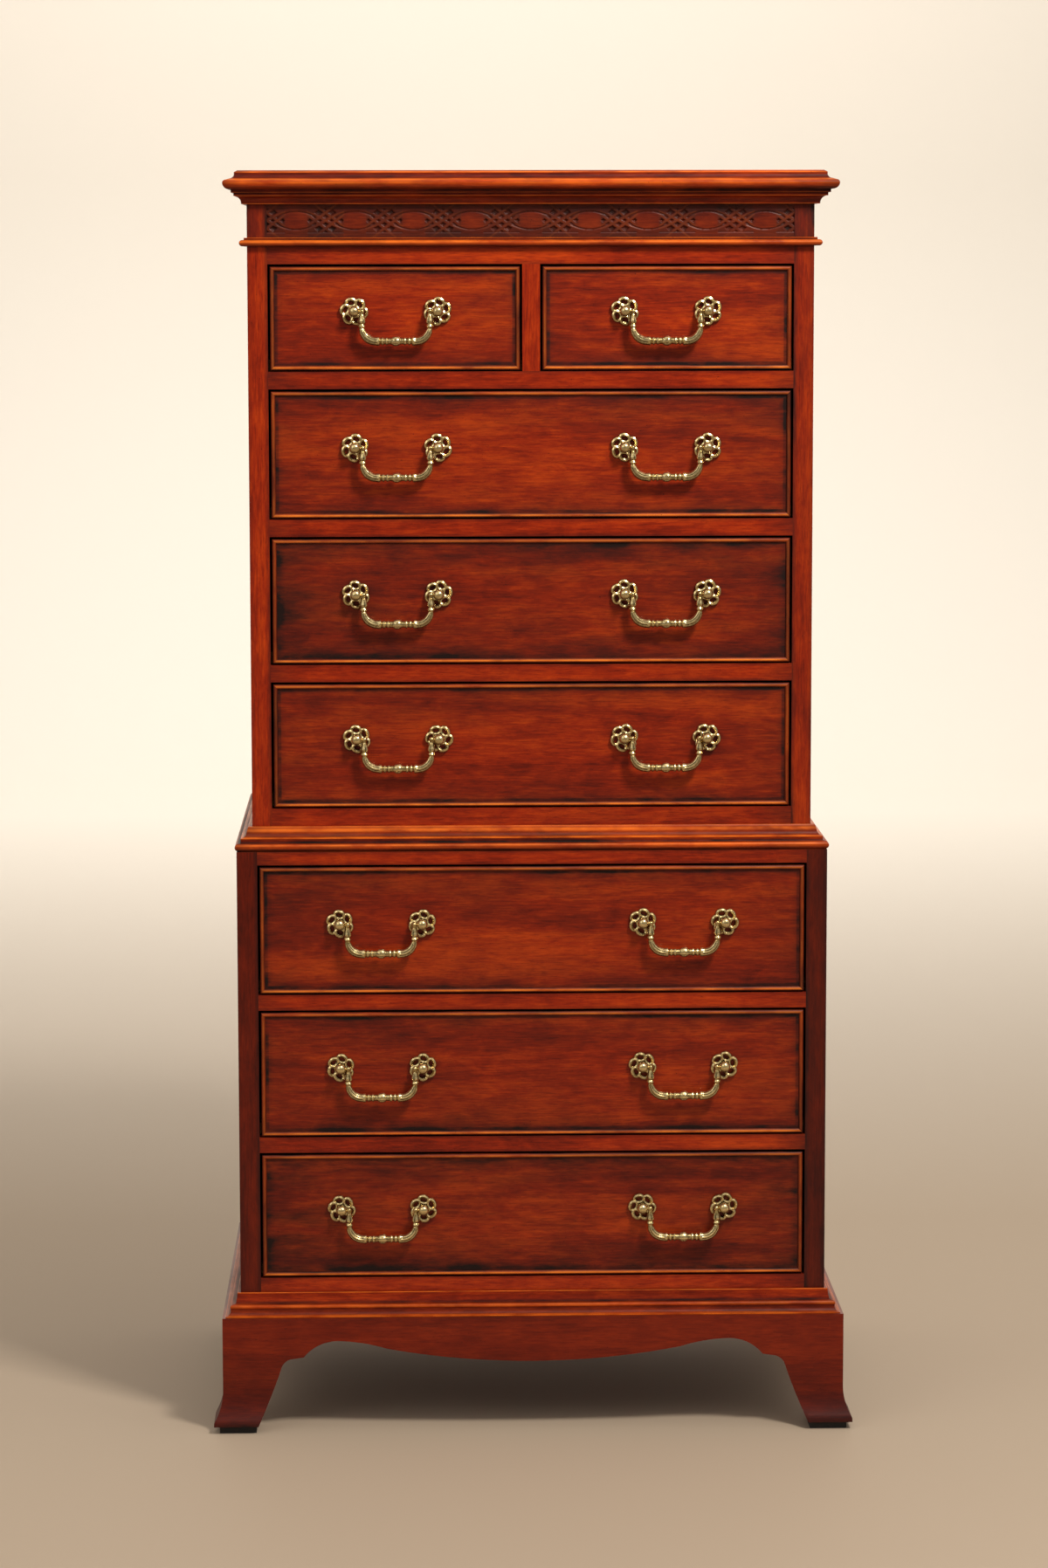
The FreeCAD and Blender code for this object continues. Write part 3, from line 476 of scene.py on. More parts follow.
def laid(u: Point, v: Point, w: Point, origin: Point) -> Matrix:
    """Matrix that lays own axes along three directions from an origin."""
    matrix = Matrix((u, v, w)).transposed().to_4x4()
    matrix.translation = Vector(origin)
    return matrix


def along_front(x: float, y: float, z: float) -> Matrix:
    """Own length, reach and height laid along the front of the chest."""
    return laid((1, 0, 0), (0, -1, 0), (0, 0, 1), (x, y, z))


def along_side(sign: float, x: float, y: float, z: float) -> Matrix:
    """Own length, reach and height laid along the left (-1) or right (1) side."""
    return laid((0, 1, 0), (sign, 0, 0), (0, 0, 1), (x, y, z))


def linked(thing: bpy.types.Object) -> bpy.types.Object:
    """Put an object into the scene."""
    bpy.context.scene.collection.objects.link(thing)
    return thing


# ---------------------------------------------------------------- repeats


class Repeat(Enum):
    """How a repeated piece is set out."""

    LINE = "along X"
    RING = "about Y"


@dataclass
class Repeater:
    """Node tree that sets out copies of a small piece in a line or a ring."""

    kind: Repeat
    tree: bpy.types.NodeTree = field(init=False)
    keys: dict[str, str] = field(init=False, default_factory=dict)

    def __post_init__(self) -> None:
        """Build the tree with its named inputs."""
        self.tree = bpy.data.node_groups.new(f"repeat_{self.kind.name.lower()}",
                                             "GeometryNodeTree")
        face = self.tree.interface
        face.new_socket("Piece", in_out="INPUT", socket_type="NodeSocketGeometry")
        for name, kind in (("Count", "NodeSocketInt"), ("Step", "NodeSocketFloat"),
                           ("Start", "NodeSocketFloat"), ("Finish", "NodeSocketMaterial")):
            self.keys[name] = face.new_socket(name, in_out="INPUT", socket_type=kind).identifier
        face.new_socket("Copies", in_out="OUTPUT", socket_type="NodeSocketGeometry")
        nodes, links = self.tree.nodes, self.tree.links
        given, result = nodes.new("NodeGroupInput"), nodes.new("NodeGroupOutput")
        line, place = nodes.new("GeometryNodeMeshLine"), nodes.new("ShaderNodeCombineXYZ")
        copies = nodes.new("GeometryNodeInstanceOnPoints")
        plain = nodes.new("GeometryNodeRealizeInstances")
        painted = nodes.new("GeometryNodeSetMaterial")
        links.new(given.outputs["Count"], line.inputs["Count"])
        if self.kind is Repeat.LINE:
            step = nodes.new("ShaderNodeCombineXYZ")
            links.new(given.outputs["Step"], step.inputs["X"])
            links.new(given.outputs["Start"], place.inputs["X"])
            links.new(step.outputs[0], line.inputs["Offset"])
            links.new(place.outputs[0], line.inputs["Start Location"])
        else:
            line.inputs["Offset"].default_value = (0, 0, 0)
            index, turn = nodes.new("GeometryNodeInputIndex"), nodes.new("ShaderNodeMath")
            turn.operation = "MULTIPLY_ADD"
            links.new(index.outputs[0], turn.inputs[0])
            links.new(given.outputs["Step"], turn.inputs[1])
            links.new(given.outputs["Start"], turn.inputs[2])
            links.new(turn.outputs[0], place.inputs["Y"])
            links.new(place.outputs[0], copies.inputs["Rotation"])
        links.new(line.outputs[0], copies.inputs["Points"])
        links.new(given.outputs["Piece"], copies.inputs["Instance"])
        links.new(copies.outputs[0], plain.inputs[0])
        links.new(plain.outputs[0], painted.inputs["Geometry"])
        links.new(given.outputs["Finish"], painted.inputs["Material"])
        links.new(painted.outputs[0], result.inputs[0])

    def copies(self, skin: Skin, count: int, step: float, start: float,
               finish: bpy.types.Material) -> Skin:
        """Set out copies of a skin and bake them.

        Args:
            skin: The piece that is repeated, in its first place.
            count: How many there are.
            step: Metres, or radians in a ring, from one to the next.
            start: Place or turn of the first.
            finish: Material of the copies.

        Returns:
            All the copies as one skin.
        """
        seed = linked(bpy.data.objects.new("repeat_seed", skin.mesh("repeat_seed")))
        modifier = seed.modifiers.new("repeat", "NODES")
        modifier.node_group = self.tree
        for name, value in (("Count", count), ("Step", step), ("Start", start),
                            ("Finish", finish)):
            modifier[self.keys[name]] = value
        graph = bpy.context.evaluated_depsgraph_get()
        baked = bpy.data.meshes.new_from_object(seed.evaluated_get(graph))
        seed.modifiers.clear()
        made = Skin.read(baked)
        bpy.data.meshes.remove(baked)
        bpy.data.objects.remove(seed)
        return made


# ---------------------------------------------------------------- finishes


def tint(red: float, green: float, blue: float) -> tuple[float, float, float, float]:
    """Turn a display colour from 0 to 255 into the linear colour of a shader."""
    parts = [value / 255 for value in (red, green, blue)]
    return (*(p / 12.92 if p <= 0.04045 else ((p + 0.055) / 1.055) ** 2.4 for p in parts), 1.0)


@dataclass
class Graph:
    """Adds and links the nodes of one tree."""

    tree: bpy.types.NodeTree

    def node(self, kind: str, **settings: object) -> bpy.types.Node:
        """Add a node and set its own properties."""
        node = self.tree.nodes.new(kind)
        for name, value in settings.items():
            setattr(node, name, value)
        return node

    def feed(self, socket: bpy.types.NodeSocket, value: object) -> None:
        """Link an output to an input, or set a plain value on it."""
        if isinstance(value, bpy.types.NodeSocket):
            self.tree.links.new(value, socket)
        else:
            socket.default_value = value

    def math(self, operation: str, *values: object, clamp: bool = False) -> bpy.types.NodeSocket:
        """Result of one sum on numbers or outputs."""
        node = self.node("ShaderNodeMath", operation=operation, use_clamp=clamp)
        for socket, value in zip(node.inputs, values):
            self.feed(socket, value)
        return node.outputs[0]

    def mix(self, share: object, first: object, second: object) -> bpy.types.NodeSocket:
        """Mix of two colours."""
        node = self.node("ShaderNodeMix", data_type="RGBA")
        for socket, value in ((node.inputs["Factor"], share), (node.inputs[6], first),
                              (node.inputs[7], second)):
            self.feed(socket, value)
        return node.outputs[2]

    def noise(self, place: object, scale: Point, detail: float = 3,
              rough: float = 0.55, warp: float = 0.0) -> bpy.types.NodeSocket:
        """Noise on a place that is stretched by a scale for each axis."""
        stretch = self.node("ShaderNodeVectorMath", operation="MULTIPLY")
        self.feed(stretch.inputs[0], place)
        stretch.inputs[1].default_value = scale
        node = self.node("ShaderNodeTexNoise")
        self.feed(node.inputs["Vector"], stretch.outputs[0])
        for name, value in (("Scale", 1.0), ("Detail", detail), ("Roughness", rough),
                            ("Distortion", warp)):
            node.inputs[name].default_value = value
        return node.outputs[0]

    def spread(self, value: object, low: float, high: float, start: float = 0,
               end: float = 1) -> bpy.types.NodeSocket:
        """Stretch a value from one range to another, held at its ends."""
        node = self.node("ShaderNodeMapRange", clamp=True)
        for socket, given in zip(node.inputs, (value, low, high, start, end)):
            self.feed(socket, given)
        return node.outputs[0]

    def attribute(self, name: str) -> bpy.types.Node:
        """Values kept on the points of a mesh."""
        return self.node("ShaderNodeAttribute", attribute_name=name)

    def parts(self, vector: object) -> bpy.types.NodeOutputs:
        """The three numbers of a vector."""
        node = self.node("ShaderNodeSeparateXYZ")
        self.feed(node.inputs[0], vector)
        return node.outputs

    def group(self, tree: bpy.types.NodeTree, **values: object) -> bpy.types.NodeOutputs:
        """Add a shared group and feed its inputs by name."""
        node = self.node("ShaderNodeGroup", node_tree=tree)
        for name, value in values.items():
            self.feed(node.inputs[name], value)
        return node.outputs

    def bump(self, shader: bpy.types.Node, strength: float, distance: float,
             height: object) -> None:
        """Give a shader a fine relief."""
        node = self.node("ShaderNodeBump")
        node.inputs["Strength"].default_value = strength
        node.inputs["Distance"].default_value = distance
        self.feed(node.inputs["Height"], height)
        self.feed(shader.inputs["Normal"], node.outputs[0])


def new_material(name: str) -> tuple[bpy.types.Material, Graph, bpy.types.Node]:
    """Make an empty material, its graph and its shader."""
    material = bpy.data.materials.new(name)
    material.use_nodes = True
    return material, Graph(material.node_tree), material.node_tree.nodes["Principled BSDF"]


@dataclass(frozen=True)
class GroupSpec:
    """Name and sockets of a shared shader group."""

    name: str
    inputs: tuple[tuple[str, str], ...]
    outputs: tuple[tuple[str, str], ...]

    def start(self) -> tuple[Graph, bpy.types.Node, bpy.types.Node]:
        """Make the empty group with its sockets."""
        tree = bpy.data.node_groups.new(self.name, "ShaderNodeTree")
        for side, sockets in (("INPUT", self.inputs), ("OUTPUT", self.outputs)):
            for label, kind in sockets:
                tree.interface.new_socket(label, in_out=side, socket_type=f"NodeSocket{kind}")
        graph = Graph(tree)
        return graph, graph.node("NodeGroupInput"), graph.node("NodeGroupOutput")


class Workshop:
    """Shader groups that the finishes share."""

    def __init__(self) -> None:
        """Build each group once."""
        self.figure = self.make_figure()
        self.patina_and_painted_light = self.make_patina_and_painted_light()

    @staticmethod
    def make_figure() -> bpy.types.NodeTree:
        """Figure, fine streaks, pores and flecks of a board, from its place in the tree."""
        spec = GroupSpec("wood_figure",
                         (("Place", "Vector"), ("Broad", "Float"), ("Fine", "Float")),
                         (("Tone", "Float"), ("Pores", "Float"), ("Flecks", "Float"),
                          ("Relief", "Float")))
        graph, given, result = spec.start()
        place, wide, narrow = (given.outputs[name] for name in ("Place", "Broad", "Fine"))
        mottled = 0.5
        broad = graph.noise(place, (2.4, 26, 26), 5, 0.62, 0.9)
        mottle = graph.noise(place, (26, 60, 60), 5, 0.68, 0.6)
        streak = graph.noise(place, (34, 460, 460), 5, 0.7, 0.4)
        thread = graph.noise(place, (70, 760, 760), 3, 0.6, 0.2)
        tone = graph.math("MULTIPLY", graph.spread(broad, 0.3, 0.7), wide)
        fine = graph.math("MULTIPLY", graph.spread(streak, 0.28, 0.72), narrow)
        blot = graph.math("MULTIPLY", graph.spread(mottle, 0.3, 0.7), mottled)
        total = graph.math("ADD", graph.math("ADD", tone, fine), blot)
        weight = graph.math("ADD", graph.math("ADD", wide, narrow), mottled)
        graph.feed(result.inputs["Tone"], graph.math("DIVIDE", total, weight, clamp=True))
        graph.feed(result.inputs["Pores"], graph.spread(thread, 0.5, 0.66))
        dots = graph.spread(graph.noise(place, (560, 700, 700), 1, 0.4), 0.745, 0.775)
        some = graph.spread(graph.noise(place, (40, 40, 40), 2), 0.46, 0.56)
        graph.feed(result.inputs["Flecks"], graph.math("MULTIPLY", dots, some))
        graph.feed(result.inputs["Relief"], graph.math("MULTIPLY_ADD", streak, 0.5, thread))
        return graph.tree

    @staticmethod
    def make_patina_and_painted_light() -> bpy.types.NodeTree:
        """Worn ridges and glazed hollows laid over a colour, with painted highlights and painted
        shade.
        """
        spec = GroupSpec("patina_and_painted_light", (("Colour", "Color"), ("Rubbed", "Color"), ("Glaze", "Color"),
                                    ("Place", "Vector"), ("Rub", "Float"), ("Depth", "Float"),
                                    ("Flecks", "Float")),
                         (("Colour", "Color"), ("Sheen", "Float")))
        graph, given, result = spec.start()
        place = given.outputs["Place"]
        # Painted highlights come in with the worn values, and painted shade comes in with the dark
        # values.
        wear_and_highlight = graph.attribute("wear_and_highlight").outputs["Fac"]
        dark = graph.attribute("glaze").outputs["Fac"]
        patchy = graph.spread(graph.noise(place, (24, 60, 60), 3, 0.6), 0.34, 0.6, 0.25, 1)
        rub = graph.math("MULTIPLY", graph.math("MULTIPLY", wear_and_highlight, patchy), given.outputs["Rub"],
                         clamp=True)
        cloud = graph.spread(graph.noise(place, (14, 50, 50), 4, 0.65), 0.3, 0.7, 0.5, 1.25)
        stain = graph.spread(graph.noise(place, (4, 16, 16), 4, 0.6), 0.5, 0.72, 0, 0.3)
        smudge = graph.math("MULTIPLY_ADD", dark, cloud, stain)
        depth = graph.math("MULTIPLY", smudge, given.outputs["Depth"], clamp=True)
        first = graph.mix(rub, given.outputs["Colour"], given.outputs["Rubbed"])
        second = graph.mix(depth, first, given.outputs["Glaze"])
        third = graph.mix(graph.math("MULTIPLY", given.outputs["Flecks"], 0.75), second,
                          given.outputs["Glaze"])
        graph.feed(result.inputs["Colour"], third)
        graph.feed(result.inputs["Sheen"], graph.math("SUBTRACT", graph.math(
            "MULTIPLY", depth, 0.22), graph.math("MULTIPLY", rub, 0.06)))
        return graph.tree


@dataclass(frozen=True)
class WoodFinish:
    """Stained, glazed and worn wood, with painted highlights and painted shade."""

    name: str
    dark: Point
    middle: Point
    light: Point
    # Colour of worn edges and painted highlights, then colour of glazing and painted shade.
    rubbed: Point = (226, 112, 42)
    glaze: Point = (26, 7, 5)
    broad: float = 0.8
    fine: float = 0.62
    rub: float = 0.85
    depth: float = 0.9
    gloss: float = 0.3
    shine: float = 0.22
    coat: float = 0.04
    coat_gloss: float = 0.14
    pores: float = 0.42
    stops: Point = (0.2, 0.46, 0.76)
    own_grain: bool = True

    def place(self, graph: Graph) -> bpy.types.NodeSocket:
        """Place of a point along and across the grain.

        Boards made here keep theirs on their points. Plain solids take it from their
        place in the part, along the longer way of each face.
        """
        if self.own_grain:
            return graph.attribute("grain").outputs["Vector"]
        spot = graph.node("ShaderNodeTexCoord")
        parts, facing = graph.parts(spot.outputs["Object"]), graph.parts(spot.outputs["Normal"])
        across, inward = graph.node("ShaderNodeCombineXYZ"), graph.node("ShaderNodeCombineXYZ")
        for target, way in ((across, Way.ACROSS), (inward, Way.INWARD)):
            for socket, source in zip(target.inputs, way.value):
                graph.feed(socket, parts[source])
        choice = graph.node("ShaderNodeMix", data_type="VECTOR")
        graph.feed(choice.inputs[0], graph.math(
            "GREATER_THAN", graph.math("ABSOLUTE", facing[0]), 0.5))
        graph.feed(choice.inputs[4], across.outputs[0])
        graph.feed(choice.inputs[5], inward.outputs[0])
        return choice.outputs[1]

    def build(self, shop: Workshop) -> bpy.types.Material:
        """Make the material.

        Args:
            shop: The shared shader groups.

        Returns:
            The material.
        """
        material, graph, shader = new_material(self.name)
        place = self.place(graph)
        figure = graph.group(shop.figure, Place=place, Broad=self.broad, Fine=self.fine)
        ramp = graph.node("ShaderNodeValToRGB")
        graph.feed(ramp.inputs[0], figure["Tone"])
        stops = ramp.color_ramp.elements
        stops[0].position, stops[0].color = self.stops[0], tint(*self.dark)
        stops[1].position, stops[1].color = self.stops[2], tint(*self.light)
        stops.new(self.stops[1]).color = tint(*self.middle)
        toned = graph.mix(graph.math("MULTIPLY", figure["Pores"], self.pores), ramp.outputs[0],
                          tint(*self.dark))
        patina_and_painted_light = graph.group(shop.patina_and_painted_light, Colour=toned, Rubbed=tint(*self.rubbed),
                             Glaze=tint(*self.glaze), Place=place, Rub=self.rub,
                             Depth=self.depth, Flecks=figure["Flecks"])
        graph.feed(shader.inputs["Base Color"], patina_and_painted_light["Colour"])
        rough = graph.spread(figure["Tone"], 0, 1, self.gloss + 0.08, self.gloss - 0.04)
        graph.feed(shader.inputs["Roughness"], graph.math("ADD", rough, patina_and_painted_light["Sheen"]))
        graph.bump(shader, 0.12, 0.0004, figure["Relief"])
        shader.inputs["Specular IOR Level"].default_value = self.shine
        shader.inputs["Coat Weight"].default_value = self.coat
        shader.inputs["Coat Roughness"].default_value = self.coat_gloss
        return material


@dataclass(frozen=True)
class BrassFinish:
    """Cast brass, bright on its worn ridges and painted highlights, dark in its hollows and in
    painted shade on its undersides.
    """

    name: str = "antique_brass"
    bright: Point = (253, 231, 172)
    body: Point = (167, 135, 75)
    dark: Point = (40, 26, 9)
    rub: float = 0.7
    rough: Span = (0.15, 0.3)

    def build(self) -> bpy.types.Material:
        """Make the material."""
        material, graph, shader = new_material(self.name)
        place = graph.node("ShaderNodeTexCoord").outputs["Object"]
        wear_and_highlight = graph.attribute("wear_and_highlight").outputs["Fac"]
        dark = graph.attribute("glaze").outputs["Fac"]
        cloud = graph.noise(place, (420, 420, 420), 4, 0.65, 0.3)
        first = graph.mix(graph.spread(cloud, 0.38, 0.72), tint(*self.body), tint(*self.bright))
        # Bright where worn and where a painted highlight is laid.
        second = graph.mix(graph.math("MULTIPLY", wear_and_highlight, self.rub), first, tint(*self.bright))
        facing = graph.parts(graph.node("ShaderNodeTexCoord").outputs["Normal"])
        # Painted shade on surfaces that face down.
        under = graph.spread(facing[2], -0.9, 0.05, 0.8, 0)
        deep = graph.math("MULTIPLY", graph.math("MAXIMUM", dark, under),
                          graph.spread(cloud, 0.25, 0.75, 1.25, 0.8), clamp=True)
        graph.feed(shader.inputs["Base Color"], graph.mix(deep, second, tint(*self.dark)))
        graph.feed(shader.inputs["Roughness"], graph.math(
            "ADD", graph.spread(cloud, 0.3, 0.7, *self.rough), graph.math("MULTIPLY", deep, 0.3)))
        shader.inputs["Metallic"].default_value = 1
        graph.bump(shader, 0.1, 0.0002, graph.noise(place, (1400, 1400, 1400), 3))
        return material


@dataclass(frozen=True)
class PadFinish:
    """Dull black pad under a foot, with a little dust."""

    name: str = "black_pad"
    dark: Point = (22, 20, 19)
    dusty: Point = (52, 46, 42)

    def build(self) -> bpy.types.Material:
        """Make the material."""
        material, graph, shader = new_material(self.name)
        place = graph.node("ShaderNodeTexCoord").outputs["Object"]
        dust = graph.noise(place, (160, 160, 160), 4, 0.7)
        graph.feed(shader.inputs["Base Color"], graph.mix(
            graph.spread(dust, 0.45, 0.75), tint(*self.dark), tint(*self.dusty)))
        graph.feed(shader.inputs["Roughness"], graph.spread(dust, 0.3, 0.7, 0.6, 0.85))
        return material


# ---------------------------------------------------------------- pieces


def piece(name: str, skin: Skin, finish: bpy.types.Material, body: str, slot: str,
          *nodes: str) -> None:
    """Put a finished skin into the scene in place of plain solids.

    Args:
        name: Name of the piece.
        skin: Its surface.
        finish: Its material.
        body: The moving body that it rides on.
        slot: The record's slot for its finish; not used.
        *nodes: The solids that it stands for.
    """
    mesh = skin.mesh(name)
    mesh.materials.append(finish)
    made = linked(bpy.data.objects.new(name, mesh))
    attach(made, body)
    if nodes:
        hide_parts(*nodes)
    LOG.info("%s: %d points, %d faces", name, len(skin.points), len(skin.faces))


class Finishes:
    """Every material of the chest."""

    def __init__(self) -> None:
        """Build the materials."""
        shop = Workshop()
        # Mouldings and beads take stronger painted highlights and painted shade, along with their
        # wear and glazing.
        worked = {"rub": 1.0, "depth": 1.0, "glaze": (22, 5, 4)}
        self.case = WoodFinish(
            "mahogany_case", (66, 13, 4), (99, 23, 6), (126, 35, 9)).build(shop)
        self.plinth = WoodFinish(
            "mahogany_plinth", (82, 17, 4), (112, 27, 7), (138, 40, 10)).build(shop)
        self.rail = WoodFinish(
            "mahogany_rail", (98, 18, 4), (152, 39, 8), (192, 64, 13)).build(shop)
        self.drawer = WoodFinish(
            "mahogany_drawer", (98, 19, 5), (151, 39, 9), (194, 68, 15)).build(shop)
        self.frieze = WoodFinish(
            "mahogany_frieze", (70, 16, 7), (105, 31, 12), (134, 46, 18),
            glaze=(34, 14, 9)).build(shop)
        self.moulding = WoodFinish(
            "mahogany_moulding", (88, 16, 4), (140, 36, 8), (186, 62, 14),
            rubbed=(255, 126, 36), shine=0.16, coat=0.03, **worked).build(shop)
        self.bead = WoodFinish(
            "mahogany_bead", (92, 18, 5), (140, 38, 8), (186, 64, 15),
            rubbed=(255, 140, 48), **worked).build(shop)
        self.plain = WoodFinish(
            "secondary_wood", (120, 82, 48), (160, 118, 76), (190, 150, 104),
            glaze=(70, 45, 26), gloss=0.5, coat=0.0, own_grain=False).build(shop)
        self.brass = BrassFinish().build()
        self.pad = PadFinish().build()


@dataclass(frozen=True)
class Case:
    """Places that every sub-assembly shares."""

    back: float = 239.6
    lower_front: float = -210.4
    upper_front: float = -193.0
    lower_half: float = 318.5
    upper_half: float = 301.8
    lower_opening: float = 296.4
    upper_opening: float = 280.5
    side: float = 18
    back_board: float = 8
    frame_depth: float = 20
    plinth_top: float = 126.5
    lower_top: float = 635.0
    frieze_low: float = 1282.2
    upper_top: float = 1349.9
    top: float = 1361.9
    rows: tuple[Span, ...] = ((1149.5, 1263.2), (991.9, 1130.8), (835.6, 973.2), (680.1, 816.9),
                              (479.2, 620.7), (322.5, 462.1), (167.0, 305.4))
    upper_rows: int = 4
    mullion: float = 9.5
    drawer_gap: float = 2.5
    upper_pull: float = 144.2
    lower_pull: float = 163.5


CASE = Case()


@dataclass(frozen=True)
class Moulding:
    """Moulding round the front and sides of a case."""

    node: str
    outline: Outline
    half: float
    front: float
    z: float
    hollow: float = 0.9

    def build(self, finishes: Finishes) -> None:
        """Make its three mitred lengths."""
        lengths = [run_of(self.outline, (-self.half, self.half), (1, 1),
                          along_front(0, self.front, self.z), Way.ACROSS, self.hollow)]
        for sign in (-1.0, 1.0):
            lengths.append(run_of(self.outline, (self.front, CASE.back), (1, 0),
                                  along_side(sign, sign * self.half, 0, self.z), Way.INWARD,
                                  self.hollow))
        piece(f"{self.node}_lengths", Skin.joined(lengths), finishes.moulding, "case",
              "mahogany_moulding", self.node)


# In each section below, shade is painted shade and lit is painted highlight, both by share of the
# height.
CORNICE = Outline(24.6, 35.3, (
    ("to", 0, 0), ("to", 0.228, 0), ("to", 0.228, 0.023), ("by", 0.321, 0.176),
    ("to", 0.541, 0.238), ("to", 0.541, 0.334), ("to", 0.65, 0.334), ("to", 0.65, 0.425),
    ("to", 0.7, 0.436), ("by", 0.925, 0.493), ("to", 1, 0.609), ("by", 0.972, 0.68),
    ("to", 0.886, 0.717), ("to", 0.691, 0.759), ("by", 0.565, 0.8), ("to", 0.512, 0.875),
    ("to", 0.512, 0.946), ("to", 0.366, 1), ("to", 0, 1)),
    shade=((0, 0.5), (0.2, 0.5), (0.3, 0.7), (0.42, 0.95), (0.48, 0.6), (0.56, 0.1), (0.6, 0),
           (0.7, 0), (0.76, 0.45), (0.84, 0.7), (0.9, 0.25), (0.95, 0), (1, 0)),
    lit=((0.57, 0), (0.62, 0.6), (0.65, 0.2), (0.69, 0.3), (0.73, 0.95), (0.77, 0), (0.92, 0),
         (0.95, 0.6), (0.98, 0.1), (1, 0.2)))
ASTRAGAL = Outline(8.2, 9, (
    ("to", 0, 0), ("to", 0.56, 0), ("by", 1, 0.367), ("to", 0.56, 0.733),
    ("to", 0.39, 0.733), ("to", 0.39, 1), ("to", 0, 1)),
    shade=((0, 0.9), (0.15, 0.45), (0.3, 0.1), (0.72, 0), (0.76, 0.6), (1, 0.5)),
    lit=((0.26, 0), (0.5, 0.9), (0.62, 0.55), (0.74, 0.5), (0.8, 0)),
    step=0.3, window=0.8)
WAIST = Outline(18.6, 26, (
    ("to", 0, 0), ("to", 0.855, 0), ("to", 0.855, 0.038), ("by", 1, 0.188),
    ("to", 0.855, 0.338), ("to", 0.699, 0.354), ("to", 0.667, 0.381), ("to", 0.667, 0.546),
    ("by", 0.43, 0.615), ("to", 0.333, 0.785), ("to", 0.258, 0.954), ("to", 0.215, 1),
    ("to", 0, 1)),
    shade=((0, 0.95), (0.1, 0.75), (0.16, 0.2), (0.2, 0), (0.31, 0), (0.35, 0.95), (0.4, 0.8),
           (0.5, 0.35), (0.55, 0), (0.9, 0), (1, 0.2)),
    lit=((0.17, 0), (0.22, 0.25), (0.27, 0.9), (0.31, 0.3), (0.34, 0), (0.5, 0), (0.56, 0.8),
         (0.6, 0.15), (0.74, 0.1), (0.86, 0.85), (0.94, 0.3), (1, 0.5)))
BASE = Outline(16.3, 24.9, (
    ("to", 0, 0), ("to", 1, 0), ("to", 1, 0.04), ("by", 0.75, 0.104), ("to", 0.65, 0.281),
    ("to", 0.65, 0.337), ("by", 0.687, 0.426), ("to", 0.552, 0.506), ("to", 0.325, 0.546),
    ("to", 0.239, 0.783), ("to", 0.209, 1), ("to", 0, 1)),
    shade=((0, 0.4), (0.08, 0.1), (0.2, 0.1), (0.3, 0.75), (0.35, 0.25), (0.42, 0), (0.48, 0.15),
           (0.53, 0.9), (0.6, 0.2), (0.8, 0), (0.97, 0), (1, 0.5)),
    lit=((0.02, 0), (0.06, 0.45), (0.1, 0.05), (0.36, 0), (0.42, 0.5), (0.48, 0.15), (0.56, 0)))


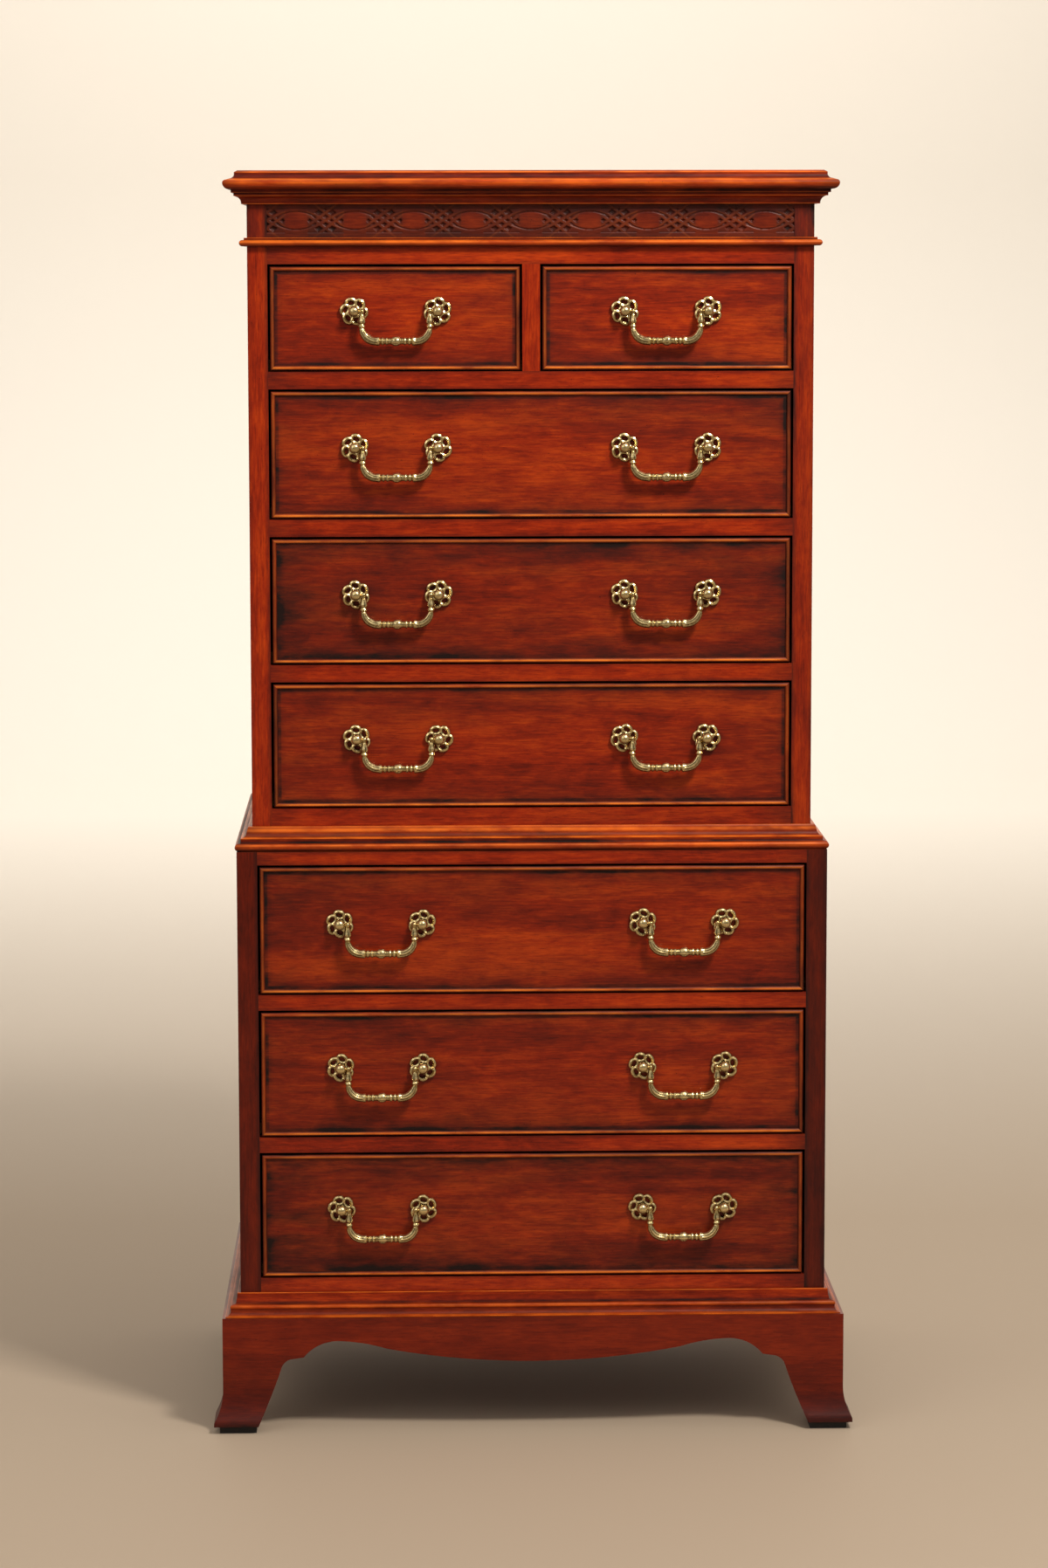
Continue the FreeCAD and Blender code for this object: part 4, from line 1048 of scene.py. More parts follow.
@dataclass(frozen=True)
class Carcase:
    """Side, top and bottom boards, stiles and rails of both cases."""

    bottom_board: float = 12
    board_edge: float = 0.4
    frame_edge: float = 0.45
    rail_gap: float = 0.1
    side_end_glaze: float = 0.34
    side_edge_glaze: float = 0.22
    side_reach: float = 40
    stile_inner_glaze: float = 0.75
    stile_outer_glaze: float = 0.35
    stile_reach: float = 5
    rail_edge_glaze: float = 0.6
    waist_rail_glaze: float = 0.2
    rail_edge_reach: float = 3.5
    rail_end_glaze: float = 0.55
    rail_end_reach: float = 40

    def boards(self, half: float, front: float, low: float, high: float) -> list[Skin]:
        """The two sides of one case."""
        run = (front + CASE.frame_depth, CASE.back)
        marks = {2: insets((low, high), (8, self.side_reach, 120)),
                 1: insets(run, (8, self.side_reach))}
        made = []
        for sign in (-1, 1):
            span = tuple(sorted((sign * (half - CASE.side), sign * half)))
            side = board(span, run, (low, high), Way.UPRIGHT, self.board_edge, marks)
            made.append(side.toned(
                lambda p: self.side_end_glaze * near(p[:, 2], (low, high), self.side_reach)
                + self.side_edge_glaze * near(p[:, 1], run, self.side_reach)))
        return made

    def build(self, finishes: Finishes) -> None:
        """Make the boards and the face frames."""
        lower, upper = CASE.lower_half - CASE.side, CASE.upper_half - CASE.side
        behind = CASE.back - CASE.back_board
        lower_run = (CASE.lower_front + CASE.frame_depth, behind)
        upper_run = (CASE.upper_front + CASE.frame_depth, behind)
        floor, waist = CASE.rows[-1][0], CASE.rows[CASE.upper_rows - 1][0]
        skins = self.boards(CASE.lower_half, CASE.lower_front, CASE.plinth_top, CASE.lower_top)
        skins += [board((-lower, lower), lower_run, z, Way.ACROSS) for z in (
            (floor - self.bottom_board, floor), (CASE.rows[CASE.upper_rows][1], CASE.lower_top))]
        piece("lower_boards", Skin.joined(skins), finishes.case, "case", "mahogany_case",
              "lower_case_boards")
        skins = self.boards(CASE.upper_half, CASE.upper_front, CASE.lower_top, CASE.upper_top)
        skins.append(board((-upper, upper), upper_run, (waist - self.bottom_board, waist),
                           Way.ACROSS))
        skins.append(board((-CASE.upper_half, CASE.upper_half), (CASE.upper_front, CASE.back),
                           (CASE.upper_top, CASE.top), Way.ACROSS, self.board_edge))
        piece("upper_boards", Skin.joined(skins), finishes.case, "case", "mahogany_case",
              "upper_case_boards")
        self.frames(finishes)

    def frames(self, finishes: Finishes) -> None:
        """Make the stiles, the rails and the mullion."""
        self.frame("lower", (CASE.lower_front, CASE.lower_half, CASE.lower_opening),
                   (CASE.plinth_top, CASE.lower_top, CASE.lower_top), CASE.rows[CASE.upper_rows:],
                   (0.0, 0.55), finishes.case, finishes.rail)
        self.frame("upper", (CASE.upper_front, CASE.upper_half, CASE.upper_opening),
                   (CASE.lower_top, CASE.frieze_low, CASE.upper_top), CASE.rows[:CASE.upper_rows],
                   (0.6, 0.28), finishes.rail, finishes.rail)

    def frame(self, case: str, sizes: Point, heights: Point, rows: tuple[Span, ...], tones: Span,
              stile_finish: bpy.types.Material, rail_finish: bpy.types.Material) -> None:
        """Make the face frame of one case.

        Args:
            case: Name of the case.
            sizes: Place of its face, half its width, and half the width of its opening.
            heights: Foot of the frame, top of the highest rail, and top of the stiles.
            rows: Opening of each row of drawers, from the top down.
            tones: How dark the blocks beside the frieze are glazed, and the painted shade on the
                right stile.
            stile_finish: Material of the stiles.
            rail_finish: Material of the rails.
        """
        front, half, opening = sizes
        low, rail_top, high = heights
        run, block_foot = (front, front + CASE.frame_depth), CASE.frieze_low - 1
        stiles = []
        # The right stile gets painted shade; the left one gets none.
        for sign, dull in ((-1, 0.0), (1, tones[1])):
            span = tuple(sorted((sign * opening, sign * half)))
            marks = {2: [*np.arange(low + 30, high, 60), CASE.frieze_low - 2, CASE.frieze_low],
                     0: insets(span, (1.5, self.stile_reach))}
            stile = board(span, run, (low, high), Way.UPRIGHT, self.frame_edge, marks)
            inner, outer = (sign * opening,), (sign * half,)
            stiles.append(stile.toned(
                lambda p: self.stile_inner_glaze * near(p[:, 0], inner, self.stile_reach)
                + self.stile_outer_glaze * near(p[:, 0], outer, self.stile_reach) + dull
                + tones[0] * (p[:, 2] > block_foot)))
        if case == "upper":
            span = (-CASE.mullion, CASE.mullion)
            stiles.append(board(span, run, rows[0], Way.UPRIGHT, self.frame_edge,
                                {0: insets(span, (1.5, 4))}))
        piece(f"{case}_stiles", Skin.joined(stiles), stile_finish, "case", "mahogany_case",
              f"{case}_face_frame")
        edges = [low] + [edge for row in reversed(rows) for edge in row] + [rail_top]
        span, rails = (-opening, opening), []
        for bottom, top in zip(edges[::2], edges[1::2]):
            height = (bottom, top - self.rail_gap)
            marks = {0: insets(span, (3, 12, self.rail_end_reach, 90)), 2: insets(height, (1.2, 4))}
            rail = board(span, run, height, Way.ACROSS, self.frame_edge, marks)
            at_waist = bottom == CASE.lower_top
            edging = self.waist_rail_glaze if at_waist else self.rail_edge_glaze
            rails.append(rail.toned(lambda p: np.maximum(
                edging * near(p[:, 2], (bottom, top), self.rail_edge_reach),
                self.rail_end_glaze * near(p[:, 0], span, self.rail_end_reach))))
        piece(f"{case}_rails", Skin.joined(rails), rail_finish, "case", "mahogany_case")


@dataclass(frozen=True)
class Fret:
    """Carved frieze: plain ovals between clusters of laced straps."""

    ovals: int = 9
    thickness: float = 18
    middle: float = 1309.2
    swing: float = 11.0
    strap: float = 1.45
    border: float = 12.7
    point: float = 19.5
    lozenge: float = 11.2
    lozenge_slope: float = 0.75
    ground: float = 1.9
    slope: float = 1.2
    inset: float = 0.5
    groove: float = 1.1
    edge_line: float = 0.9
    crown: float = 14
    lace: float = 0.45
    band: float = 15.6
    rim: float = 17
    fine_step: float = 0.52
    # Glaze with painted shade in the sunk ground and on its walls, painted shade in the groove
    # lines, and glaze on the ovals' ends, the clusters and outside the ovals.
    sunk_glaze_and_shade: float = 0.95
    line_shade: float = 0.85
    oval_glaze: float = 0.42
    cluster_glaze: float = 0.66
    outside_glaze: float = 0.5
    crest_wear: float = 0.3

    def relief(self, x: np.ndarray, z: np.ndarray, pitch: float) -> tuple[np.ndarray, ...]:
        """Depth of the carving below the board's face.

        Args:
            x: Places along the board, from the middle of an oval.
            z: Heights from the middle of the band.
            pitch: Distance from one oval to the next.

        Returns:
            The depth in millimetres, how dark it is glazed and painted with shade, and how worn the
            crests are.
        """
        side = pitch / 2 - np.abs(x)
        wave = self.swing * np.cos(math.pi * x / pitch)
        lean = np.sqrt(1 + (self.swing * math.pi / pitch * np.sin(math.pi * x / pitch)) ** 2)
        ribs = [np.abs(z - wave) / lean - self.strap, np.abs(z + wave) / lean - self.strap]
        steep = math.hypot(1, self.lozenge_slope)
        for height in (self.lozenge - side, self.lozenge + side):
            ribs.append(np.abs(np.abs(z) - np.abs(self.lozenge_slope * height)) / steep
                        - self.strap)
        strap = np.min(ribs, axis=0)
        inside = np.min([self.border - np.abs(z),
                         (self.point - side - 0.95 * np.abs(z)) / 1.38], axis=0)
        sunk = np.clip(np.minimum(strap, inside) / self.slope, 0, 1)
        oval = np.abs(wave) - self.strap - np.abs(z)
        groove = np.clip(1 - np.abs(oval) / self.groove, 0, 1) * (side > self.point * 0.55)
        crown = (self.inset * np.clip(1 - (np.abs(z) / self.crown) ** 2, 0, 1)
                 * np.clip(side / 20, 0, 1))
        depth = np.maximum(self.ground * sunk, groove) + self.inset - crown
        laced = self.lace * (np.abs(z - wave) < np.abs(z + wave)) * (side < 6)
        edge = (np.clip(1 - np.abs(np.abs(z) - self.border) / self.edge_line, 0, 1)
                * (side < self.point))
        depth = np.maximum(depth, 1.1 * edge) + laced * (1 - sunk)
        wall = 1 - np.abs(2 * sunk - 1)
        plain = self.oval_glaze * np.clip((np.abs(x) - 7) / 9, 0, 1)
        cluster = np.clip((self.point + 1 - side) / 2, 0, 1)
        dark = np.max([self.sunk_glaze_and_shade * sunk, self.sunk_glaze_and_shade * wall, self.line_shade * groove,
                       self.line_shade * edge, plain, self.cluster_glaze * cluster,
                       self.outside_glaze * (oval < 0)], axis=0)
        crest = self.crest_wear * np.clip(-strap / self.strap, 0, 1) * cluster * (1 - sunk)
        return depth, dark, crest

    def build(self, finishes: Finishes, line: Repeater) -> None:
        """Carve one oval with half a cluster at each end, and repeat it along the board."""
        half = CASE.upper_opening
        pitch = 2 * half / self.ovals
        low, high = CASE.frieze_low, CASE.upper_top
        across = np.linspace(-pitch / 2, pitch / 2, round(pitch / self.fine_step) + 1)
        band = np.arange(-self.band, self.band + 0.01, self.fine_step) + self.middle
        heights = np.concatenate([[low, self.middle - self.rim], band,
                                  [self.middle + self.rim, high]])
        x, z = np.meshgrid(across, heights)
        depth, dark, crest = self.relief(x, z - self.middle, pitch)
        depth = np.where(np.abs(z - self.middle) > self.band + 0.4, self.inset, depth)
        front = np.stack([x, CASE.upper_front + depth, z], axis=2)
        faces = [tuple(reversed(face)) for face in lattice(*x.shape)]
        made = line.copies(Skin.of(front, faces, crest, dark), self.ovals, pitch * MM,
                           (pitch / 2 - half) * MM, finishes.frieze)
        made = made.backed(CASE.upper_front + self.thickness).grained(Way.ACROSS)
        piece("fret_frieze", made, finishes.frieze, "case", "mahogany_case", "frieze_panel")


@dataclass(frozen=True)
class Plinth:
    """Bracket feet: arched boards that flare out at the floor."""

    face: float = 19.5
    thick: float = 26
    pad: float = 8
    flare: float = 9.7
    flare_height: float = 33
    lip: float = 4
    toe: float = 38.4
    front_drop: float = 76.9
    side_drop: float = 87
    brace: float = 50
    brace_board: float = 16
    foot_edge: float = 0.7
    floor_darkening: float = 0.75
    floor_reach: float = 90
    rows: int = 30
    foot_columns: int = 7
    scallop: tuple[tuple[Span | None, Span, int], ...] = (
        ((52.914, 40.9725), (63, 68.5), 12), ((66.4965, 76.002), (73.5, 80.6), 6),
        (None, (88, 82.7), 1), ((104.8, 96.05), (128, 100.5), 10),
        ((150.5, 98.325), (178, 91.8), 8))

    def outward(self, z: np.ndarray) -> np.ndarray:
        """How far the foot stands out at a height."""
        low = self.pad + self.lip
        line = [(self.flare, low)] + arc((self.flare, low), (
            self.flare * 0.25, low + self.flare_height * 0.51), (0, low + self.flare_height), 20)
        spots = np.array(line)
        order = np.argsort(spots[:, 1])
        return np.interp(z, spots[order, 1], spots[order, 0])

    def under(self, length: float, drop: float) -> np.ndarray:
        """Underside of one bracket, from the inside of one foot to the other."""
        half: list[Span] = [(self.toe, self.pad)]
        for middle, end, steps in self.scallop:
            half += arc(half[-1], middle, end, steps) if middle else [end]
        far = [(length - u, z) for u, z in reversed(half)]
        apron = arc(half[-1], (length / 2, drop), far[0], 20)
        return np.array(half + apron + far[1:])

    def bracket(self, length: float, drop: float, mitred_end: bool) -> Skin:
        """One bracket board with its two feet.

        Args:
            length: Length along its face.
            drop: Height of the apron's lowest point.
            mitred_end: Whether its far end is mitred too.

        Returns:
            The board, with its length along X, its face at 0 outward along Y and Z up.
        """
        rows = self.rows
        shares, steps = np.linspace(0, 1, self.foot_columns), np.linspace(0, 1, rows)
        fronts, backs = [], []

        def column(bottom: float, front: Callable[[np.ndarray], np.ndarray], rear: float) -> None:
            """Add one upright row of points on both faces."""
            z = bottom + (CASE.plinth_top - bottom) * steps
            fronts.append(np.stack([front(z), self.outward(z), z], axis=1))
            backs.append(np.stack([np.full(rows, rear), np.full(rows, -self.thick), z], axis=1))

        for share in shares[:-1]:
            column(self.pad, lambda z, s=share: -self.outward(z) * (1 - s) + self.toe * s,
                   self.thick + (self.toe - self.thick) * share)
        for u, z_low in self.under(length, drop):
            column(z_low, lambda z, u=u: np.full(rows, u), u)
        for share in shares[1:]:
            if mitred_end:
                column(self.pad,
                       lambda z, s=share: length + self.outward(z) * s - self.toe * (1 - s),
                       length - self.thick - (self.toe - self.thick) * (1 - share))
            else:
                column(self.pad, lambda z, s=share: np.full(rows, length - self.toe * (1 - s)),
                       length - self.toe * (1 - share))
        front = np.array(fronts)
        # Darker towards the floor.
        dark = (self.floor_darkening * near(front[:, :, 2], (self.pad,), self.floor_reach)
                + 0.15 * near(front[:, :, 2], (self.pad,), 12))
        skin = slab(front, np.array(backs), dark).closed()
        return worked_edges(skin, self.foot_edge, 40)

    def build(self, finishes: Finishes) -> None:
        """Make the three brackets and the brace across the back."""
        half = CASE.lower_half + self.face
        front = CASE.lower_front - self.face
        across = self.bracket(2 * half, self.front_drop, True)
        skins = [across.moved(along_front(-half, front, 0)).closed().grained(Way.ACROSS)]
        side = self.bracket(CASE.back - front, self.side_drop, False)
        for sign in (-1.0, 1.0):
            place = along_side(sign, sign * half, front, 0)
            skins.append(side.moved(place).closed().grained(Way.INWARD))
        inner = half - self.thick
        skins.append(board((-inner, inner), (CASE.back - self.brace_board, CASE.back),
                           (CASE.plinth_top - self.brace, CASE.plinth_top), Way.ACROSS))
        piece("bracket_feet", Skin.joined(skins), finishes.plinth, "case", "mahogany_case",
              "bracket_plinth")


# Profiles of the turned parts, as radius and place along the axis: the knuckle of the bail with
# its pin, one bead of the rosette's rim, and the end of the shank behind its nut.
PIN = ((0, -2.9), (1.3, -2.6), (2.2, -1.9), (2.75, -0.9), (2.9, 0), (2.75, 0.9), (2.2, 1.9),
       (1.6, 2.4), (1.6, 7.75), (0, 7.75))
RIM_BEAD = ((0, -3.3), (0.62, -3.1), (0.9, -2.5), (0.62, -1.8), (0, -1.6))
SHANK_END = ((0, 18), (2.4, 18), (2.4, 23.9), (2.1, 24.2), (0, 24.2))
# The collar and the domed post of a rosette, with how dark each ring is: glazed, with painted shade
# in the collar under the dome.
DISH = ((0, 0, 0.6), (7.6, 0, 0.7), (7.8, -0.7, 0.5), (7.4, -1.5, 0.35), (6.5, -1.9, 0.5),
        (5.8, -1.7, 0.9), (5.3, -1.0, 1), (4.9, -1.2, 1), (4.7, -2.6, 0.8), (4.1, -3.4, 0.7),
        (2.6, -4.2, 0.9), (2.4, -6.0, 0.9), (3.6, -6.9, 0.6), (4.9, -8.3, 0.35),
        (5.6, -10.2, 0.1), (5.8, -12.0, 0), (5.6, -13.8, 0), (4.9, -15.5, 0), (3.6, -16.8, 0),
        (1.9, -17.6, 0), (0, -17.8, 0))
# Radius of the bail by distance from its pivot, up to the ball in its middle.
BAIL_RADII = ((0, 2.3), (3, 2.3), (4.5, 2.9), (7.5, 3.7), (10.2, 4.4), (11.6, 4.3), (12.6, 3.6),
              (13.2, 2.9), (13.7, 2.8), (14.2, 3.3), (15.7, 4.0), (17.2, 3.3), (17.7, 2.8),
              (18.3, 2.8), (18.9, 3.2), (22, 3.85), (28, 4.35), (40, 4.5), (42.2, 4.9),
              (43.6, 4.8), (44.2, 4.0), (44.8, 3.2), (45.6, 3.2), (46.4, 4.2), (47.8, 4.3),
              (48.5, 3.3), (50.0, 3.2), (50.8, 4.1), (52.3, 4.3), (53.0, 3.4))


@dataclass
class Pull:
    """Cast brass pull: two pierced rosettes on posts, and a bail that swings between them."""

    finish: bpy.types.Material
    ring: Repeater
    post: float = 44.45
    standoff: float = 12
    ball: float = 5.2
    lobes: int = 6
    beads: int = 18
    bead_ring: float = 6.55
    loop_across: float = 5.1
    loop_along: float = 3.9
    loop_centre: float = 9.5
    loop_lean: float = 0.3
    loop_thick: float = 1.95
    loop_lift: float = 2.3
    nut: float = 5
    nut_run: Span = (19, 22.2)
    arm: float = 36
    bend: float = 14.5
    drop: float = 31.5
    rounds: int = 26
    orb_half: float = 6.4
    reeded: Span = (18, 42)
    wobble: float = 0.4
    rosette_skin: Skin = field(init=False)
    bail_skin: Skin = field(init=False)

    def __post_init__(self) -> None:
        """Make the rosette and the bail once."""
        self.rosette_skin = self.rosette()
        self.bail_skin = self.bail()

    def loop(self) -> Skin:
        """One open loop of the rosette, above its middle."""
        lean, sides = self.loop_lean, 8
        turns = np.linspace(0, math.tau, sides, endpoint=False)
        rings = []
        for angle in np.linspace(0, math.tau, 26, endpoint=False):
            across, along = self.loop_across * math.sin(angle), self.loop_along * math.cos(angle)
            centre = np.array([
                across * math.cos(lean) + along * math.sin(lean), 0,
                self.loop_centre + along * math.cos(lean) - across * math.sin(lean)])
            outward = np.array([math.sin(angle + lean), 0, math.cos(angle + lean)])
            thick = self.loop_thick + 0.2 * math.cos(angle) + 0.1 * math.cos(11 * angle)
            lift = -self.loop_lift - 0.4 * math.cos(angle)
            rings.append([centre + outward * thick * math.cos(t)
                          + np.array([0, lift - 1.15 * thick * math.sin(t), 0]) for t in turns])
        rings.append(rings[0])
        # Painted shade on the back and the sides of the tube, and a painted highlight along its
        # front crest.
        facing = np.sin(turns)
        shade = np.tile(np.select([facing < -0.3, facing < 0.3], [0.9, 0.6], 0.0), (len(rings), 1))
        crest = np.tile(np.clip((facing - 0.6) / 0.4, 0, 1), (len(rings), 1))
        return Skin.of(np.array(rings), lattice(len(rings), sides, around=True),
                       crest, shade).closed()

    def rosette(self) -> Skin:
        """Rosette with its loops, beaded ring, collar, post and nut."""
        loops = self.ring.copies(self.loop(), self.lobes, math.tau / self.lobes, 0, self.finish)
        bead = lathe(RIM_BEAD, 7)
        bead = bead.moved(Matrix.Translation((0, 0, self.bead_ring)))
        beads = self.ring.copies(bead, self.beads, math.tau / self.beads, 0, self.finish)
        dish = lathe([spot[:2] for spot in DISH], 28, [spot[2] for spot in DISH])
        dish.wear_and_highlight = 0.8 * (dish.glaze < 0.05)
        turns = np.linspace(0, math.tau, 6, endpoint=False)
        nut = np.array([[(self.nut * math.cos(t), y, self.nut * math.sin(t)) for t in turns]
                        for y in self.nut_run])
        return Skin.joined([loops, beads, dish, worked_edges(tube(nut).closed(), 0.3),
                            lathe(SHANK_END, 14)])

    def thickness(self, s: np.ndarray) -> np.ndarray:
        """Radius of the bail at distances along it from its pivot."""
        base = np.interp(s, *zip(*BAIL_RADII))
        past = np.minimum(s - self.length() / 2, 0) / self.orb_half
        return np.maximum(base, self.ball * np.sqrt(np.clip(1 - past ** 2, 0, None)))

    def length(self) -> float:
        """Length along the whole bail."""
        straight = self.drop - self.bend
        return 2 * (straight + self.bend * math.pi / 2 + self.arm - self.bend)

    def bail(self) -> Skin:
        """Bail with cuffs, knops, reeded arms and a ribbed ball."""
        total = self.length()
        start, stop = self.reeded
        marks = np.unique(np.concatenate([
            np.linspace(0, start, 40), np.linspace(start, stop, 26),
            np.linspace(stop, total / 2, 52)]))
        marks = np.concatenate([marks, (total - marks[:-1])[::-1]])
        straight, turn = self.drop - self.bend, self.bend * math.pi / 2
        around = np.linspace(0, math.tau, self.rounds, endpoint=False)
        rings, shade, rub = [], [], []
        for mark in marks:
            own = min(mark, total - mark)
            side = 1 if mark <= total / 2 else -1
            if own <= straight:
                x, z, heading = self.arm, -own, 0.0
            elif own <= straight + turn:
                heading = (own - straight) / self.bend
                x = self.arm - self.bend * (1 - math.cos(heading))
                z = -straight - self.bend * math.sin(heading)
            else:
                heading = math.pi / 2
                x, z = self.arm - self.bend - (own - straight - turn), -self.drop
            outward = np.array([side * math.cos(heading), 0, -math.sin(heading)])
            radius = float(self.thickness(np.array([own]))[0])
            reeds = np.clip((own - start) / 3, 0, 1) * np.clip((stop + 0.5 - own) / 1.5, 0, 1)
            ribs = np.clip((own - total / 2 + self.orb_half) / 2, 0, 1)
            leaf = np.clip((own - 4) / 4, 0, 1) * np.clip((12.6 - own) / 0.6, 0, 1)
            groove = (reeds * (1 - np.abs(np.cos(4 * around))) ** 2 * 0.16
                      + ribs * (1 - np.abs(np.cos(5 * around + (own - 61) * 0.16))) ** 2 * 0.12
                      + leaf * (1 - np.abs(np.cos(2.5 * around))) ** 2 * 0.2)
            centre = np.array([side * x, -self.standoff, z])
            rings.append([centre + radius * (1 - g) * (outward * math.cos(a)
                                                       + np.array([0, -math.sin(a), 0]))
                          for a, g in zip(around, groove)])
            # Darker in the reeds' grooves, with painted shade at the thin necks; the thick parts
            # are worn bright with a painted highlight.
            thin = np.clip((3.7 - radius) / 0.6, 0, 1) * (own > stop + 1)
            shade.append(np.clip(groove * 7.5, 0, 1) + thin * 0.8)
            rub.append(np.full(self.rounds, np.clip((radius - 3.2) / 0.8, 0, 1)))
        whole = tube(np.array(rings), np.array(rub), np.clip(shade, 0, 1)).closed()
        knuckles = []
        for sign in (-1, 1):
            pin = lathe(PIN, 14)
            knuckles.append(pin.moved(laid((0, 0, 1), (sign, 0, 0), (0, 1, 0),
                                           (sign * self.arm, -self.standoff, 0))).closed())
        return Skin.joined([whole, *knuckles])

    def fixed(self, x: float, face: float, z: float) -> Skin:
        """Rosettes and posts of one pull, each turned a little its own way."""
        skins = []
        for sign in (-1, 1):
            turn = Matrix.Rotation(CHANCE.uniform(-self.wobble, self.wobble), 4, "Y")
            skins.append(self.rosette_skin.moved(
                Matrix.Translation((x + sign * self.post, face, z)) @ turn))
        return Skin.joined(skins)

    def swinging(self, x: float, face: float, z: float) -> Skin:
        """Bail of one pull."""
        return self.bail_skin.moved(Matrix.Translation((x, face, z)))


# Distance inside the bead from the ends and from the long edges, and how dark the panel is there: a
# glazed line beside the bead, with painted shade fading inward.
PANEL_TONES = ((0, 0, 1), (2.6, 2.6, 0.95), (4, 4, 0.5), (9, 8, 0.34), (40, 17, 0.22),
               (85, 28, 0.11), (150, 42, 0))


@dataclass(frozen=True)
class Drawer:
    """One drawer: its front, the bead round it, and its pulls."""

    name: str
    upper: bool
    row: int
    left: float
    right: float
    pulls: tuple[float, ...]
    dull: float = 0
    foot_gap: float = 1.5
    recess: float = 1
    bead: float = 4.8
    proud: float = 1.5
    bead_depth: float = 11
    rise: float = 7
    most_aside: float = 0.42

    def build(self, finishes: Finishes, pull: Pull) -> None:
        """Make the front, the bead and the pulls."""
        front = CASE.upper_front if self.upper else CASE.lower_front
        floor, ceiling = CASE.rows[self.row]
        low, high = floor + self.foot_gap, ceiling - CASE.drawer_gap
        self.make_front(finishes, front, low, high)
        self.make_bead(finishes, front, low, high)
        spot = (floor + ceiling) / 2 + self.rise
        face = front + self.recess
        plates = Skin.joined([pull.fixed(x, face, spot) for x in self.pulls])
        piece(f"{self.name}_rosettes", plates, finishes.brass, self.name, "antique_brass",
              f"{self.name}_pull_plates")
        sides = ("bail",) if len(self.pulls) == 1 else ("left_bail", "right_bail")
        for side, x in zip(sides, self.pulls):
            body = f"{self.name}_{side}"
            piece(f"{body}_cast", pull.swinging(x, face, spot), finishes.brass, body,
                  "antique_brass", body)

    def make_front(self, finishes: Finishes, front: float, low: float, high: float) -> None:
        """Make the panel with the rebate that the bead lies in."""
        back = front + CASE.frame_depth
        seat = front - self.proud + self.bead_depth
        levels = [(0, 0, back, 0), (0, 0, seat, 0), (self.bead, self.bead, seat, 1)]
        levels += [(self.bead + aside, self.bead + above, front + self.recess, glaze)
                   for aside, above, glaze in PANEL_TONES]
        loops, dark = [], []
        for aside, above, y, glaze in levels:
            aside = min(aside, self.most_aside * (self.right - self.left))
            corners = ((self.left + aside, low + above), (self.right - aside, low + above),
                       (self.right - aside, high - above), (self.left + aside, high - above))
            loops.append([(x, y, z) for x, z in corners])
            dark.append([glaze] * 4)
        skin = tube(np.array(loops, float), None, np.clip(np.array(dark, float) + self.dull, 0, 1))
        piece(f"{self.name}_panel", skin.closed().grained(Way.ACROSS), finishes.drawer, self.name,
              "mahogany_drawer", f"{self.name}_front")

    def make_bead(self, finishes: Finishes, front: float, low: float, high: float) -> None:
        """Make the four mitred strips of the bead."""
        # The section's shade is painted shade on the bead's sides, and its lit is a painted
        # highlight along its crest.
        section = Outline(self.bead, self.bead_depth, (
            ("to", 0, 0), ("to", 1, 0), ("to", 1, 0.82), ("by", 0.5, 1), ("to", 0, 0.82),
            ("to", 0, 0)),
            shade=((0, 1), (0.9, 1), (0.95, 0.8), (0.985, 0.2), (1, 0)),
            lit=((0.97, 0), (1, 1)), step=0.2)
        y = front - self.proud + self.bead_depth
        strips = []
        # The top and the upright strips get painted shade and a weaker painted highlight than the
        # bottom strip.
        for span, along, inward, origin, way, dull in (
                ((self.left, self.right), (1, 0, 0), (0, 0, -1), (0, y, high), Way.ACROSS, 0.3),
                ((self.left, self.right), (1, 0, 0), (0, 0, 1), (0, y, low), Way.ACROSS, 0.0),
                ((low, high), (0, 0, 1), (1, 0, 0), (self.left, y, 0), Way.UPRIGHT, 0.55),
                ((low, high), (0, 0, 1), (-1, 0, 0), (self.right, y, 0), Way.UPRIGHT, 0.6)):
            strip = run_of(section, span, (-1, -1), laid(along, inward, (0, -1, 0), origin),
                           way, 1, 1 - dull)
            strips.append(strip.toned(lambda p: np.full(len(p), dull)))
        piece(f"{self.name}_bead", Skin.joined(strips), finishes.bead, self.name, "mahogany_bead",
              f"{self.name}_cockbead")


def drawers() -> list[Drawer]:
    """Every drawer, from the top row down."""
    upper, lower = CASE.upper_opening - CASE.drawer_gap, CASE.lower_opening - CASE.drawer_gap
    inner = CASE.mullion + CASE.drawer_gap
    upper_pulls, lower_pulls = ((-place, place) for place in (CASE.upper_pull, CASE.lower_pull))
    made = [Drawer("top_left_drawer", True, 0, -upper, -inner, upper_pulls[:1]),
            Drawer("top_right_drawer", True, 0, inner, upper, upper_pulls[1:])]
    made += [Drawer(f"upper_drawer_{n}", True, n, -upper, upper, upper_pulls, dull)
             for n, dull in ((1, 0.18), (2, 0.42), (3, 0.14))]
    made += [Drawer(f"lower_drawer_{n}", False, n + CASE.upper_rows - 1, -lower, lower,
                    lower_pulls, dull)
             for n, dull in ((1, 0.2), (2, 0.24), (3, 0.46))]
    return made


# ---------------------------------------------------------------- studio


